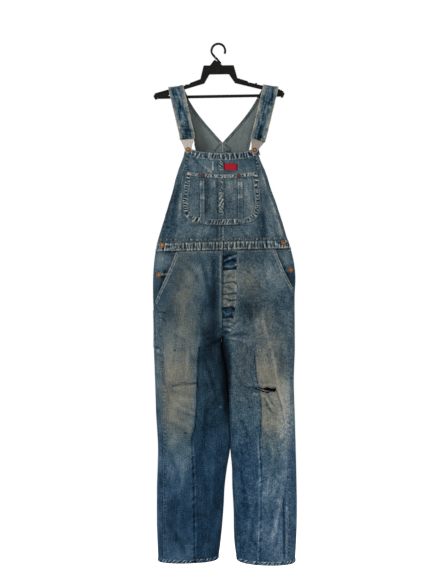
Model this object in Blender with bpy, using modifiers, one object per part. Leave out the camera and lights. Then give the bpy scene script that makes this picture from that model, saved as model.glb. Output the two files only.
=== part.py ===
"""Denim bib overalls hanging on a moulded clothes hanger.

Metres, +Z up. The origin is the underside of the hook's crown, where a rail carries it.
The front faces -Y, and +X is the wearer's left. Tables are in millimetres, and a "drop" is
how far a point lies below the origin."""

import math
from collections import namedtuple

import bmesh
import bpy
import numpy as np
from mathutils import Matrix, Vector

# Driving dimensions, in millimetres
MM = 0.001
WALL = 2.0  # denim with its felled seams, as one wall
STRAP_WALL = 3.0  # straps are two layers
PATCH_WALL = 1.4  # cloth sewn on a panel
SEAM = 0.3  # gap between two pieces
STRAP_WIDTH = 50.0
BUTTON_DIAMETER = 16.5
RIVET_DIAMETER = 14.5
LOOK_RIGHT = -1  # the wearer's right is -X
LOOK_LEFT = 1
SIDES = {"right": LOOK_RIGHT, "left": LOOK_LEFT}

# The hanger
HOOK_RADIUS = 22.2  # to the middle of its wire
HOOK_WIRE = 3.9  # radius of the wire
HOOK_TIP_ANGLE = -21.0  # degrees, 0 is to +X
HOOK_HEEL_ANGLE = 219.0
HANGER_HALF_THICKNESS = 4.0
BAR_HALF_THICKNESS = 3.5

# The garment's levels
BIB_TOP = 331.0  # at its corners
WAIST_SEAM_TOP = 640.0
WAIST_SEAM_BOTTOM = 670.0
FORK_START = 900.0  # the rise leaves the centre front here
FORK_END = 975.0  # and is under the body here
CROTCH_EASE = 0.6  # the four panels stand a little further apart where they meet
CROTCH_EASE_END = 1040.0
HEM = 1678.0
LEAN = 0.024  # the waist climbs to +X by this much
LEAN_FROM = 360.0
LEAN_TO = 960.0
MIDDLE = 13.5  # the garment hangs a little to +X of the hook
BOXINESS = 0.8  # below 1 the sections have flatter faces than an ellipse

# Trunk and outseams: edges on each side, and how far front and back stand off the side seams
Section = namedtuple("Section", "drop right left front back")
TRUNK = (
    Section(330, -103, 122, 28, 20),
    Section(369, -115, 135, 30, 24),
    Section(421, -135, 155, 33, 28),
    Section(473, -148, 171, 36, 33),
    Section(525, -164, 190, 39, 37),
    Section(577, -180, 207, 41, 41),
    Section(640, -199, 226, 44, 45),
    Section(670, -205, 236, 46, 48),
    Section(707, -210, 245, 49, 54),
    Section(759, -213, 251, 52, 60),
    Section(811, -213, 249, 53, 62),
    Section(915, -210, 249, 50, 56),
    Section(993, -210, 249, 47, 51),
    Section(1097, -206, 246, 45, 46),
    Section(1201, -203, 249, 43, 43),
    Section(1305, -197, 252, 41, 41),
    Section(1435, -200, 255, 39, 39),
    Section(1565, -200, 255, 37, 37),
    Section(1680, -196, 250, 35, 35),
)

# Centre front and back, then the inseams
Inseam = namedtuple("Inseam", "drop right left")
INNER = (
    Inseam(330, 12, 12),
    Inseam(870, 10, 10),
    Inseam(957, 9, 9),
    Inseam(1010, 16, 17.5),
    Inseam(1061, 26, 27.5),
    Inseam(1113, 29.5, 31),
    Inseam(1227, 36, 37.5),
    Inseam(1315, 37.5, 39.5),
    Inseam(1383, 28, 44),
    Inseam(1435, 21.5, 45),
    Inseam(1513, 17, 49),
    Inseam(1643, 5, 54),
    Inseam(1680, 0, 60),
)

# How far the bib's and the back's armhole edges stand off the side seams' plane
Edge = namedtuple("Edge", "drop front back")
ARMHOLE_DEPTH = (
    Edge(330, 19, 18),
    Edge(400, 17, 19),
    Edge(480, 12, 15),
    Edge(560, 6, 8),
    Edge(640, 0.2, 0.2),
)

# The back above the waist: its armhole edges and its depth
Back = namedtuple("Back", "drop armhole")
BACK_ARMHOLE = (
    Back(317, 92),
    Back(350, 86),
    Back(400, 91),
    Back(480, 124),
    Back(560, 172),
    Back(640, 212.5),
)

# The back's wings, from a strap down to the point of the V neck; across is from the middle
Wing = namedtuple("Wing", "share outer outer_drop inner inner_drop depth")
WINGS = (
    Wing(0.0, 154, 197, 113, 172, 16),
    Wing(0.3, 121, 228, 92, 207, 18),
    Wing(0.65, 102, 268, 56, 254, 19.5),
    Wing(1.0, 92, 316.7, 0.4, 316.7, 20.5),
)

# Slash pockets: how far in from the outseam the front panel's edge runs
Slash = namedtuple("Slash", "drop right left")
SLASH = (
    Slash(669, 70, 53),
    Slash(717, 57, 44),
    Slash(762, 39, 27),
    Slash(797, 23, 5),
    Slash(803, 20, 0),
    Slash(834, 6, 0),
    Slash(842, 0, 0),
)
SLASH_MOUTH = 4.6  # how far the hip piece lies behind the slash edge

# The largest folds: share is 0 at the outseam and 1 at the inner edge, depth is into the cloth
Fold = namedtuple("Fold", "side face top bottom at_top at_bottom width depth")
FOLDS = (
    Fold("right", "front", 700, 1240, 0.60, 0.72, 0.10, 6),
    Fold("right", "front", 1010, 1420, 0.34, 0.30, 0.09, 4),
    Fold("right", "front", 1180, 1690, 0.62, 0.55, 0.08, 5),
    Fold("left", "front", 820, 1150, 0.72, 0.42, 0.09, -5),
    Fold("left", "front", 1080, 1330, 0.30, 0.36, 0.10, 6),
    Fold("left", "front", 1240, 1690, 0.62, 0.60, 0.09, 5),
    Fold("right", "back", 760, 1180, 0.55, 0.66, 0.12, 8),
    Fold("right", "back", 1100, 1500, 0.40, 0.45, 0.10, 6),
    Fold("right", "back", 1350, 1690, 0.66, 0.58, 0.09, 5),
    Fold("left", "back", 740, 1160, 0.50, 0.64, 0.11, 8),
    Fold("left", "back", 1080, 1480, 0.36, 0.42, 0.10, 6),
    Fold("left", "back", 1380, 1690, 0.60, 0.66, 0.09, 5),
)

# Hems: how far each leg's hem drops below HEM at the outseam, its middle and the inseam
HemLine = namedtuple("HemLine", "outer middle inner")
HEM_LINES = {"right": HemLine(2, 9, -7), "left": HemLine(4, 16, -5)}

# The patch pocket on the bib, over its own height
Pocket = namedtuple("Pocket", "share right left")
POCKET = (
    Pocket(0.0, -105, 127),
    Pocket(0.25, -113, 134),
    Pocket(0.5, -118, 137),
    Pocket(0.78, -118, 137),
    Pocket(0.9, -111, 132),
    Pocket(1.0, -91, 112),
)
POCKET_TOP = HemLine(411, 421, 411)
POCKET_BOTTOM = HemLine(578, 589, 578)

# Strips and the label on the front: where they start and end, and their two edges at each end
Strip = namedtuple("Strip", "top bottom right_top left_top right_bottom left_bottom")
POCKET_STRIPS = {
    "pocket_divider_right": Strip(435, 583, -60, -45.5, -59, -45),
    "pocket_divider_left": Strip(437, 581, 62.5, 78, 64, 79),
}
LABEL = Strip(387, 409.5, 18, 61.5, 18.5, 61.5)
FLY = Strip(673, 912, 15, 59, 11.8, 47)
SIDE_STRIP_DROP = (863, 985)  # the edge of the tool pocket, on the wearer's right

# Where the straps lie on the hanger's arms, and the bib buttons
Seat = namedtuple("Seat", "x drop slope")
STRAP_SEATS = {"right": Seat(-137, 145.7, 0.15), "left": Seat(169, 144.0, -0.15)}
STRAP_BEND = 13.0  # outer radius over the arm
Spot = namedtuple("Spot", "x drop")
BIB_BUTTONS = {"right": Spot(-98, 342), "left": Spot(117, 344)}
WAIST_BUTTONS = {"right": Spot(-182.5, 654), "left": Spot(210, 645.5)}
HIP_BUTTONS = {"right": Spot(-194, 749), "left": Spot(235, 733)}
RIVETS = {"right": Spot(-51, 426), "left": Spot(66, 428)}

# The rip over the wearer's left knee: its outline, worn ragged
RIP = (
    Spot(125, 1114),
    Spot(133, 1112),
    Spot(144, 1115),
    Spot(157, 1111),
    Spot(170, 1114),
    Spot(182, 1113),
    Spot(190, 1118),
    Spot(187, 1127),
    Spot(176, 1133),
    Spot(163, 1130),
    Spot(150, 1133),
    Spot(139, 1127),
    Spot(128, 1124),
)

Finish = namedtuple("Finish", "color roughness metallic")
FINISHES = {
    "denim": Finish((0.10, 0.17, 0.26, 1), 0.9, 0.0),
    "denim_dark": Finish((0.05, 0.09, 0.16, 1), 0.9, 0.0),
    "red_label": Finish((0.45, 0.02, 0.04, 1), 0.7, 0.0),
    "brass": Finish((0.50, 0.28, 0.10, 1), 0.4, 1.0),
    "pale_metal": Finish((0.60, 0.57, 0.52, 1), 0.45, 0.9),
    "black_plastic": Finish((0.012, 0.013, 0.013, 1), 0.35, 0.0),
}


# The scene, its two collections and its materials
def empty_scene():
    for old in list(bpy.data.objects):
        bpy.data.objects.remove(old)


def collection(name):
    made = bpy.data.collections.new(name)
    bpy.context.scene.collection.children.link(made)
    return made


def material(name):
    made = bpy.data.materials.get(name)
    if made is None:
        finish = FINISHES[name]
        made = bpy.data.materials.new(name)
        made.use_nodes = True
        shader = made.node_tree.nodes["Principled BSDF"]
        shader.inputs["Base Color"].default_value = finish.color
        shader.inputs["Roughness"].default_value = finish.roughness
        shader.inputs["Metallic"].default_value = finish.metallic
    return made


empty_scene()
PARTS = collection("overalls_on_hanger")
CUTTERS = collection("cutters")


def add_object(name, data, finish):
    made = bpy.data.objects.new(name, data)
    made.data.materials.append(material(finish))
    PARTS.objects.link(made)
    return made


# Smooth functions through the tables
def through(rows, column, along="drop"):
    """A smooth function through one column of a table, level past both ends."""
    stations = np.array([getattr(row, along) for row in rows], float)
    values = np.array([getattr(row, column) for row in rows], float)
    slopes = np.gradient(values, stations)

    def value(at):
        at = min(max(at, stations[0]), stations[-1])
        i = min(int(np.searchsorted(stations, at, side="right")) - 1, len(rows) - 2)
        step = stations[i + 1] - stations[i]
        t = (at - stations[i]) / step
        start = values[i] * (1 + 2 * t) + slopes[i] * step * t
        end = values[i + 1] * (3 - 2 * t) + slopes[i + 1] * step * (t - 1)
        return float(start * (1 - t) ** 2 + end * t**2)

    return value


OUTER = {side: through(TRUNK, side) for side in SIDES}
DEPTH = {face: through(TRUNK, face) for face in ("front", "back")}
EDGE_DEPTH = {face: through(ARMHOLE_DEPTH, face) for face in ("front", "back")}
INSEAM = {side: through(INNER, side) for side in SIDES}
SLASH_IN = {side: through(SLASH, side) for side in SIDES}
BACK_OUT = through(BACK_ARMHOLE, "armhole")
FACING = {"front": -1, "back": 1}


def smooth(t):
    t = min(max(t, 0.0), 1.0)
    return t * t * (3 - 2 * t)


def lean(x, drop):
    """How far the tilt of the waist lifts a point, fading to nothing at the bib and the thighs."""
    middle = (WAIST_SEAM_TOP + WAIST_SEAM_BOTTOM) / 2
    reach = middle - LEAN_FROM if drop < middle else LEAN_TO - middle
    return LEAN * (x - MIDDLE) * smooth(1 - abs(drop - middle) / reach)


def level_of(x, drop):
    """The section a point belongs to, when it is measured at this drop on the hanging garment."""
    return drop + lean(x, drop)


def place(x, y, drop):
    return Vector((x, y, -(drop - lean(x, drop)))) * MM


# The trunk above the waist
def bib_point(x, drop, out=0.0):
    """A point of the bib's outer side."""
    right = OUTER["right"](drop)
    left = OUTER["left"](drop)
    across = min(abs(2 * x - right - left) / (left - right), 1.0)
    edge = EDGE_DEPTH["front"](drop)
    rise = math.cos(math.asin(across)) ** BOXINESS
    return place(x, -(edge + (DEPTH["front"](drop) - edge) * rise) - out, drop)


def waist_point(x, drop, out=0.0):
    """A point of the front between the bib and the legs, where the two sides meet."""
    right = OUTER["right"](drop)
    left = OUTER["left"](drop)
    across = min(abs(2 * x - right - left) / (left - right), 1.0)
    return place(x, -DEPTH["front"](drop) * math.cos(math.asin(across)) ** BOXINESS - out, drop)


# The legs, from the waist to the hem
def fork(drop):
    """0 where a panel ends at the centre line, 1 where it ends at its inseam."""
    return smooth((drop - FORK_START) / (FORK_END - FORK_START))


def folds(side, face, drop, share):
    total = 0.0
    for fold in FOLDS:
        if (fold.side, fold.face) != (side, face) or not fold.top < drop < fold.bottom:
            continue
        t = (drop - fold.top) / (fold.bottom - fold.top)
        centre = fold.at_top + (fold.at_bottom - fold.at_top) * t
        total += fold.depth * math.exp(-(((share - centre) / fold.width) ** 2)) * math.sin(math.pi * t)
    return total * smooth(share / 0.15) * smooth((1 - share) / 0.15)


def leg_xy(side, face, drop, share):
    """Where a leg panel's outer side is at this drop, from its outseam (0) to its inner edge (1)."""
    end = math.pi / 2 * fork(drop)
    turn = -math.pi / 2 + share * (math.pi / 2 + end)
    outer = OUTER[side](drop)
    inner = INSEAM[side](drop) + SIDES[side] * SEAM / 2
    x = outer + (inner - outer) * (math.sin(turn) + 1) / (math.sin(end) + 1)
    depth = DEPTH[face](drop) * max(math.cos(turn), 0.0) ** BOXINESS
    crotch = fork(drop) * smooth((CROTCH_EASE_END - drop) / 60) * smooth((share - 0.8) / 0.2)
    seam = SEAM / 2 + 0.05 + CROTCH_EASE * crotch
    return x, FACING[face] * max(depth - folds(side, face, drop, share), seam)


def leg_share(side, x, drop):
    """The share of a leg panel that lies at x."""
    end = math.pi / 2 * fork(drop)
    outer = OUTER[side](drop)
    part = (x - outer) / (INSEAM[side](drop) - outer) * (math.sin(end) + 1) - 1
    return (math.asin(min(max(part, -1.0), 1.0)) + math.pi / 2) / (math.pi / 2 + end)


def hem_drop(side, share):
    line = HEM_LINES[side]
    straight = line.outer + (line.inner - line.outer) * share
    bow = line.middle - (line.outer + line.inner) / 2
    return straight + bow * 4 * share * (1 - share)


def leg_point(side, face, drop, share, inward=0.0):
    """A point of a leg panel; inward moves it into the leg."""
    x, y = leg_xy(side, face, drop, share)
    if inward:
        ahead = leg_xy(side, face, drop, min(share + 0.01, 1.0))
        behind = leg_xy(side, face, drop, max(share - 0.01, 0.0))
        along = Vector((ahead[0] - behind[0], ahead[1] - behind[1])).normalized()
        normal = Vector((-along.y, along.x)) * SIDES[side] * -FACING[face]
        x -= normal.x * inward
        y -= normal.y * inward
    reach = smooth((drop - FORK_END) / (HEM - FORK_END))
    return place(x, y, drop + hem_drop(side, share) * reach)


# Panels
def grid_panel(name, across, down, point, outward, finish, wall):
    """A cloth panel: a grid moved onto point(a, b), a across and b down, with its wall inside."""
    bm = bmesh.new()
    bmesh.ops.create_grid(bm, x_segments=len(across) - 1, y_segments=len(down) - 1, size=1.0)
    for vertex in bm.verts:
        i = round((vertex.co.x + 1) / 2 * (len(across) - 1))
        j = round((1 - vertex.co.y) / 2 * (len(down) - 1))
        vertex.co = point(across[i], down[j])
    bm.normal_update()
    facing = sum((face.normal * face.calc_area() for face in bm.faces), Vector())
    if facing.dot(Vector(outward)) < 0:
        bmesh.ops.reverse_faces(bm, faces=bm.faces)
    mesh = bpy.data.meshes.new(name)
    bm.to_mesh(mesh)
    bm.free()
    mesh.shade_smooth()
    made = add_object(name, mesh, finish)
    thicken = made.modifiers.new("wall", "SOLIDIFY")
    thicken.thickness = wall * MM
    thicken.offset = -1.0
    thicken.use_even_offset = True
    return made


def even(count):
    return [i / count for i in range(count + 1)]


def rounded(count):
    """Shares across a half tube, with a narrow row at each end so that its edges stand square."""
    return [0.0, 0.012] + even(count)[1:-1] + [0.988, 1.0]


def half_rounded(count):
    """Shares from a middle seam to one edge, with a narrow row at that edge."""
    return even(count)[:-1] + [0.988, 1.0]


def spaced(stops, step):
    """Drops through the stops, evenly spaced between them and no further apart than step."""
    out = [stops[0]]
    for low, high in zip(stops, stops[1:]):
        count = max(1, math.ceil((high - low) / step))
        out += [low + (high - low) * (i + 1) / count for i in range(count)]
    return out


FRONT = (0, -1, 0)
BEHIND = (0, 1, 0)


def slash_share(side, drop):
    inward = SLASH_IN[side](drop)
    return leg_share(side, OUTER[side](drop) - SIDES[side] * inward, drop) if inward > 0.5 else 0.0


def slash_drops(side):
    """The rows down a slash pocket, the same in the front panel and in the hip piece behind it."""
    stops = [row.drop for row in SLASH[1:] if getattr(row, side) > 1]
    return spaced([WAIST_SEAM_BOTTOM + SEAM] + stops, 30)


def add_front_leg(side):

    def point(a, drop):
        start = slash_share(side, drop)
        return leg_point(side, "front", drop, start + (1 - start) * a)

    closed = next(row.drop for row in SLASH if getattr(row, side) == 0)
    drops = slash_drops(side) + spaced((closed, FORK_START, FORK_END, 1100, 1140, HEM), 42)
    return grid_panel(f"front_leg_{side}", rounded(11), drops, point, FRONT, "denim", WALL)


def add_back_leg(side):
    drops = spaced((WAIST_SEAM_TOP + 2 * SEAM, FORK_START, FORK_END, HEM), 44)

    def point(a, drop):
        return leg_point(side, "back", drop, a)

    return grid_panel(f"back_leg_{side}", rounded(11), drops, point, BEHIND, "denim", WALL)


def add_hip_piece(side):
    """The cloth behind a slash pocket, which carries the hip button."""

    def point(a, drop):
        edge = slash_share(side, drop)
        share = a * (edge + 0.05)
        return leg_point(side, "front", drop, share, SLASH_MOUTH * smooth(share / max(edge, 0.01)))

    return grid_panel(f"hip_{side}", rounded(6), slash_drops(side), point, FRONT, "denim", WALL)


def add_bib_half(side):
    centre = INSEAM[side](WAIST_SEAM_TOP)

    def point(a, b):
        edge_x = OUTER[side](BIB_TOP + (WAIST_SEAM_TOP - BIB_TOP) * b)
        x = centre + SIDES[side] * SEAM / 2
        x += (edge_x - x) * math.sin(a * math.pi / 2)
        top = BIB_TOP + 19 * smooth((1 - a) / 0.75) ** 0.6
        drop = top + (WAIST_SEAM_TOP - top) * b
        return bib_point(x, drop)

    return grid_panel(f"bib_{side}", half_rounded(9), even(10), point, FRONT, "denim", WALL)


def add_waistband():
    def point(a, drop):
        right = OUTER["right"](drop)
        left = OUTER["left"](drop)
        x = (right + left) / 2 + (left - right) / 2 * math.sin((a - 0.5) * math.pi)
        return waist_point(x, drop) + Vector((0, -0.2 * MM, 0))

    drops = spaced((WAIST_SEAM_TOP + SEAM, WAIST_SEAM_BOTTOM - 2 * SEAM), 16)
    return grid_panel("waistband_front", rounded(18), drops, point, FRONT, "denim", WALL + 0.5)


def back_point(side, across, drop):
    """The back above the waist: across is 0 at the centre back and 1 at the armhole."""
    reach = BACK_OUT(drop)
    edge = EDGE_DEPTH["back"](drop)
    swell = math.cos(across * math.pi / 2) ** BOXINESS
    x = SIDES[side] * (SEAM / 2 + (reach - SEAM / 2) * math.sin(across * math.pi / 2))
    depth = edge + (DEPTH["back"](drop) - edge) * swell
    return MIDDLE + x, depth


def add_back_half(side):
    """One half of the back, with its wing up to the strap."""
    columns = {name: through(WINGS, name, "share") for name in Wing._fields[1:]}

    def point(a, b):
        if b < 0:
            share = 1 + b
            part = math.sin(a * math.pi / 2)
            x = columns["inner"](share) + (columns["outer"](share) - columns["inner"](share)) * part
            low = columns["inner_drop"](share)
            drop = low + (columns["outer_drop"](share) - low) * part
            return place(MIDDLE + SIDES[side] * x, columns["depth"](share), drop)
        drop = 316.7 + (WAIST_SEAM_TOP - 316.7) * b
        x, y = back_point(side, a, drop)
        return place(x, columns["depth"](1.0) + (y - columns["depth"](1.0)) * smooth(b / 0.3), drop)

    down = [-1 + i / 5 for i in range(5)] + even(9)
    return grid_panel(f"back_{side}", half_rounded(8), down, point, BEHIND, "denim", WALL)


def strip_point(strip, a, b, drop, out, surface):
    right = strip.right_top + (strip.right_bottom - strip.right_top) * b
    left = strip.left_top + (strip.left_bottom - strip.left_top) * b
    return surface(right + (left - right) * a, drop, out)


def add_bib_strip(name, strip, across, down, out, finish, wall):
    def point(a, b):
        drop = strip.top + (strip.bottom - strip.top) * b
        return strip_point(strip, a, b, drop, out, bib_point)

    return grid_panel(name, even(across), even(down), point, FRONT, finish, wall)


def add_pocket():
    right = through(POCKET, "right", "share")
    left = through(POCKET, "left", "share")

    def rim(line, a):
        bow = line.middle - (line.outer + line.inner) / 2
        return line.outer + (line.inner - line.outer) * a + bow * 4 * a * (1 - a)

    def point(a, b):
        drop = rim(POCKET_TOP, a) + (rim(POCKET_BOTTOM, a) - rim(POCKET_TOP, a)) * b
        return bib_point(right(b) + (left(b) - right(b)) * a, drop, PATCH_WALL + SEAM + 0.3)

    down = [0, 0.17, 0.34, 0.5, 0.65, 0.78, 0.9, 1.0]
    return grid_panel("bib_pocket", even(14), down, point, FRONT, "denim", PATCH_WALL)


def add_fly():
    """The buttoned fly's flap, which lies on the wearer's left front."""

    def point(a, b):
        drop = FLY.top + (FLY.bottom - FLY.top) * b
        right = FLY.right_top + (FLY.right_bottom - FLY.right_top) * b
        left = FLY.left_top + (FLY.left_bottom - FLY.left_top) * smooth((b - 0.6) / 0.4)
        x = right + (left - right) * a
        return leg_point("left", "front", drop, leg_share("left", x, drop), -(PATCH_WALL + SEAM + 0.2))

    return grid_panel("fly", even(4), even(10), point, FRONT, "denim", PATCH_WALL)


def add_side_strip():
    """The stitched front edge of the tool pocket, at the wearer's right outseam."""
    top, bottom = SIDE_STRIP_DROP

    def point(a, drop):
        return leg_point("right", "front", drop, 0.02 + 0.1 * a, -(PATCH_WALL + SEAM + 0.1))

    return grid_panel("tool_pocket_edge", even(4), spaced((top, bottom), 30), point, FRONT, "denim", PATCH_WALL)


# Buttons, rivets and buckles
def surface_frame(spot, surface):
    """The point, its outward normal and the upward direction on the cloth there."""
    level = level_of(spot.x, spot.drop)
    at = surface(spot.x, level)
    across = surface(spot.x + 2, level) - surface(spot.x - 2, level)
    up = surface(spot.x, level - 2) - surface(spot.x, level + 2)
    normal = across.cross(up).normalized()
    return at, normal, up.normalized()


def turned(name, profile, steps, at, normal, finish):
    """A turned piece: its profile runs from the top of its axis, down its outer side, to its foot."""
    mesh = bpy.data.meshes.new(name)
    bm = bmesh.new()
    points = [bm.verts.new((r * MM, 0, z * MM)) for r, z in profile]
    for a, b in zip(points, points[1:]):
        bm.edges.new((a, b))
    bm.to_mesh(mesh)
    bm.free()
    made = add_object(name, mesh, finish)
    made.location = at
    made.rotation_mode = "QUATERNION"
    made.rotation_quaternion = normal.to_track_quat("Z", "Y")
    screw = made.modifiers.new("turn", "SCREW")
    screw.steps = screw.render_steps = steps
    screw.use_merge_vertices = True
    screw.merge_threshold = 0.00005
    screw.use_smooth_shade = True
    return made


def button_profile(diameter, foot, head):
    """A domed cap with a rolled rim on a narrow shank; foot and head are heights off the cloth."""
    r = diameter / 2
    return (
        (0, head),
        (r * 0.55, head - 0.1),
        (r * 0.9, head - 0.5),
        (r, head - 1.3),
        (r * 0.85, head - 2.0),
        (r * 0.42, head - 2.1),
        (r * 0.42, foot),
        (0, foot),
    )


def leg_surface(side):
    def surface(x, drop):
        return leg_point(side, "front", drop, leg_share(side, x, drop))

    return surface


def hip_surface(side):
    def surface(x, drop):
        share = leg_share(side, x, drop)
        edge = max(slash_share(side, drop), 0.01)
        return leg_point(side, "front", drop, share, SLASH_MOUTH * smooth(share / edge))

    return surface


def add_buttons(side):
    parts = (
        ("waist_button", WAIST_BUTTONS[side], waist_point, BUTTON_DIAMETER, 0.6),
        ("hip_button", HIP_BUTTONS[side], hip_surface(side), BUTTON_DIAMETER, 0.4),
        ("pocket_rivet", RIVETS[side], bib_point, RIVET_DIAMETER, PATCH_WALL + SEAM + 0.6),
    )
    for name, spot, surface, diameter, foot in parts:
        at, normal, up = surface_frame(spot, surface)
        profile = button_profile(diameter, foot, foot + 3.2)
        turned(f"{name}_{side}", profile, 12, at, normal, "brass")


BUCKLE_HALF_THICKNESS = 1.0
BUCKLE_LEAN = {"right": -0.09, "left": 0.33}  # how far each leans to +X as it rises
BUCKLE_HEIGHT = 44.0  # from the button's middle to its top edge, behind the strap
BUCKLE_HOLE = 4.6  # radius
STRAP_END = 35.0  # from the button's middle to the strap's lower edge
BUCKLE_OUT = 0.7  # gap between the plate and the bib


def buckle_frame(side):
    """The button's place, and the plate's directions across, up towards the strap, and out."""
    at, normal, up = surface_frame(BIB_BUTTONS[side], bib_point)
    towards = Vector((BUCKLE_LEAN[side], 0, 1.0))
    up = (towards - normal * towards.dot(normal)).normalized()
    return at, up.cross(normal), up, normal


def closed_spline(data, points):
    spline = data.splines.new("POLY")
    spline.points.add(len(points) - 1)
    for place_, (x, y) in zip(spline.points, points):
        place_.co = (x * MM, y * MM, 0, 1)
    spline.use_cyclic_u = True


def arc(radius, start, end, count, centre=(0, 0)):
    turns = [math.radians(start + (end - start) * i / count) for i in range(count + 1)]
    return [(centre[0] + radius * math.cos(t), centre[1] + radius * math.sin(t)) for t in turns]


def add_buckle(side):
    """A plate that hangs on the bib button and carries the strap's end."""
    at, across, up, normal = buckle_frame(side)
    data = bpy.data.curves.new(f"buckle_{side}", "CURVE")
    data.dimensions = "2D"
    data.fill_mode = "BOTH"
    data.extrude = BUCKLE_HALF_THICKNESS * MM
    half = STRAP_WIDTH / 2 - 1.5
    shoulder = [(-half, BUCKLE_HEIGHT), (-half, 34), (-15, 15)]
    outline = shoulder + arc(10.8, 195, 345, 8) + [(-x, y) for x, y in reversed(shoulder)]
    closed_spline(data, outline)
    closed_spline(data, arc(BUCKLE_HOLE, 0, 330, 11))
    made = add_object(f"buckle_{side}", data, "pale_metal")
    seat = at + normal * (BUCKLE_OUT + BUCKLE_HALF_THICKNESS) * MM
    turn = Matrix((across, up, normal)).transposed().to_4x4()
    made.matrix_world = Matrix.Translation(seat) @ turn
    head = button_profile(BUTTON_DIAMETER, 0.4, BUCKLE_OUT + 2 * BUCKLE_HALF_THICKNESS + 0.5 + 3.0)
    turned(f"bib_button_{side}", head, 12, at, normal, "brass")


# Straps
def strap_stations(side):
    """The strap's outer middle line and its direction across, from the buckle to the back's wing."""
    sign = SIDES[side]
    at, across, up, normal = buckle_frame(side)
    lift = BUCKLE_OUT + 2 * BUCKLE_HALF_THICKNESS + SEAM + STRAP_WALL
    end = at + up * STRAP_END * MM + normal * lift * MM
    near = at + up * (STRAP_END + 16) * MM + normal * lift * MM
    seat = STRAP_SEATS[side]
    axis = Vector((seat.x, 0, -seat.drop)) * MM
    along = Vector((1, 0, seat.slope)).normalized()
    rise = Vector((-seat.slope, 0, 1)).normalized()
    stations = [(end, across), (near, across)]
    front = axis + Vector((0, -STRAP_BEND * MM, 0))
    for t in (0.3, 0.55, 0.8):
        stations.append((near.lerp(front, t), across.lerp(along, t).normalized()))
    for degrees in range(0, 181, 30):
        turn = math.radians(degrees)
        spoke = Vector((0, -math.cos(turn), 0)) + rise * math.sin(turn)
        stations.append((axis + spoke * STRAP_BEND * MM, along))
    top = WINGS[0]
    outer = place(MIDDLE + sign * top.outer, top.depth, top.outer_drop)
    inner = place(MIDDLE + sign * top.inner, top.depth, top.inner_drop)
    slant = (outer - inner).normalized() * (1 if outer.x > inner.x else -1)
    foot = (outer + inner) / 2 + Vector((0, 0.5, SEAM + 0.4)) * MM
    back = axis + Vector((0, STRAP_BEND * MM, 0))
    stations.append((back.lerp(foot, 0.5), along.lerp(slant, 0.5).normalized()))
    stations.append((foot, slant))
    return stations


def add_strap(side):
    """A strap with two soft troughs along its middle, over the hanger's arm."""
    stations = strap_stations(side)
    last = len(stations) - 1

    def point(a, k):
        centre, across = stations[k]
        before = stations[max(k - 1, 0)][0]
        after = stations[min(k + 1, last)][0]
        normal = across.cross(after - before).normalized()
        trough = 0.9 * math.sin(a * 3 * math.pi) ** 2 * math.sin(math.pi * k / last)
        return centre + across * (a - 0.5) * STRAP_WIDTH * MM - normal * trough * MM

    stations_down = list(range(last + 1))
    made = grid_panel(f"strap_{side}", even(6), stations_down, point, (0, 0, 1), "denim", STRAP_WALL)
    return made


# The rip
def cut_rip(panel):
    """Cuts the ragged hole over the wearer's left knee through the front panel."""
    bm = bmesh.new()
    front = [bm.verts.new(Vector((spot.x, -90, -spot.drop)) * MM) for spot in RIP]
    face = bm.faces.new(front)
    through_cloth = bmesh.ops.extrude_face_region(bm, geom=[face])
    moved = [item for item in through_cloth["geom"] if isinstance(item, bmesh.types.BMVert)]
    bmesh.ops.translate(bm, verts=moved, vec=Vector((0, 80, 0)) * MM)
    bmesh.ops.recalc_face_normals(bm, faces=bm.faces)
    mesh = bpy.data.meshes.new("rip_cutter")
    bm.to_mesh(mesh)
    bm.free()
    cutter = bpy.data.objects.new("rip_cutter", mesh)
    cutter.hide_render = True
    cutter.display_type = "WIRE"
    CUTTERS.objects.link(cutter)
    cut = panel.modifiers.new("rip", "BOOLEAN")
    cut.operation = "DIFFERENCE"
    cut.solver = "EXACT"
    cut.object = cutter


# The hanger
def flat_plate(name, outline, half_thickness, finish):
    """An upright plate in the hanger's plane, from its outline in x and drop."""
    data = bpy.data.curves.new(name, "CURVE")
    data.dimensions = "2D"
    data.fill_mode = "BOTH"
    data.extrude = half_thickness * MM
    closed_spline(data, [(x, -drop) for x, drop in outline])
    made = add_object(name, data, finish)
    made.rotation_euler = (math.pi / 2, 0, 0)
    return made


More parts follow.
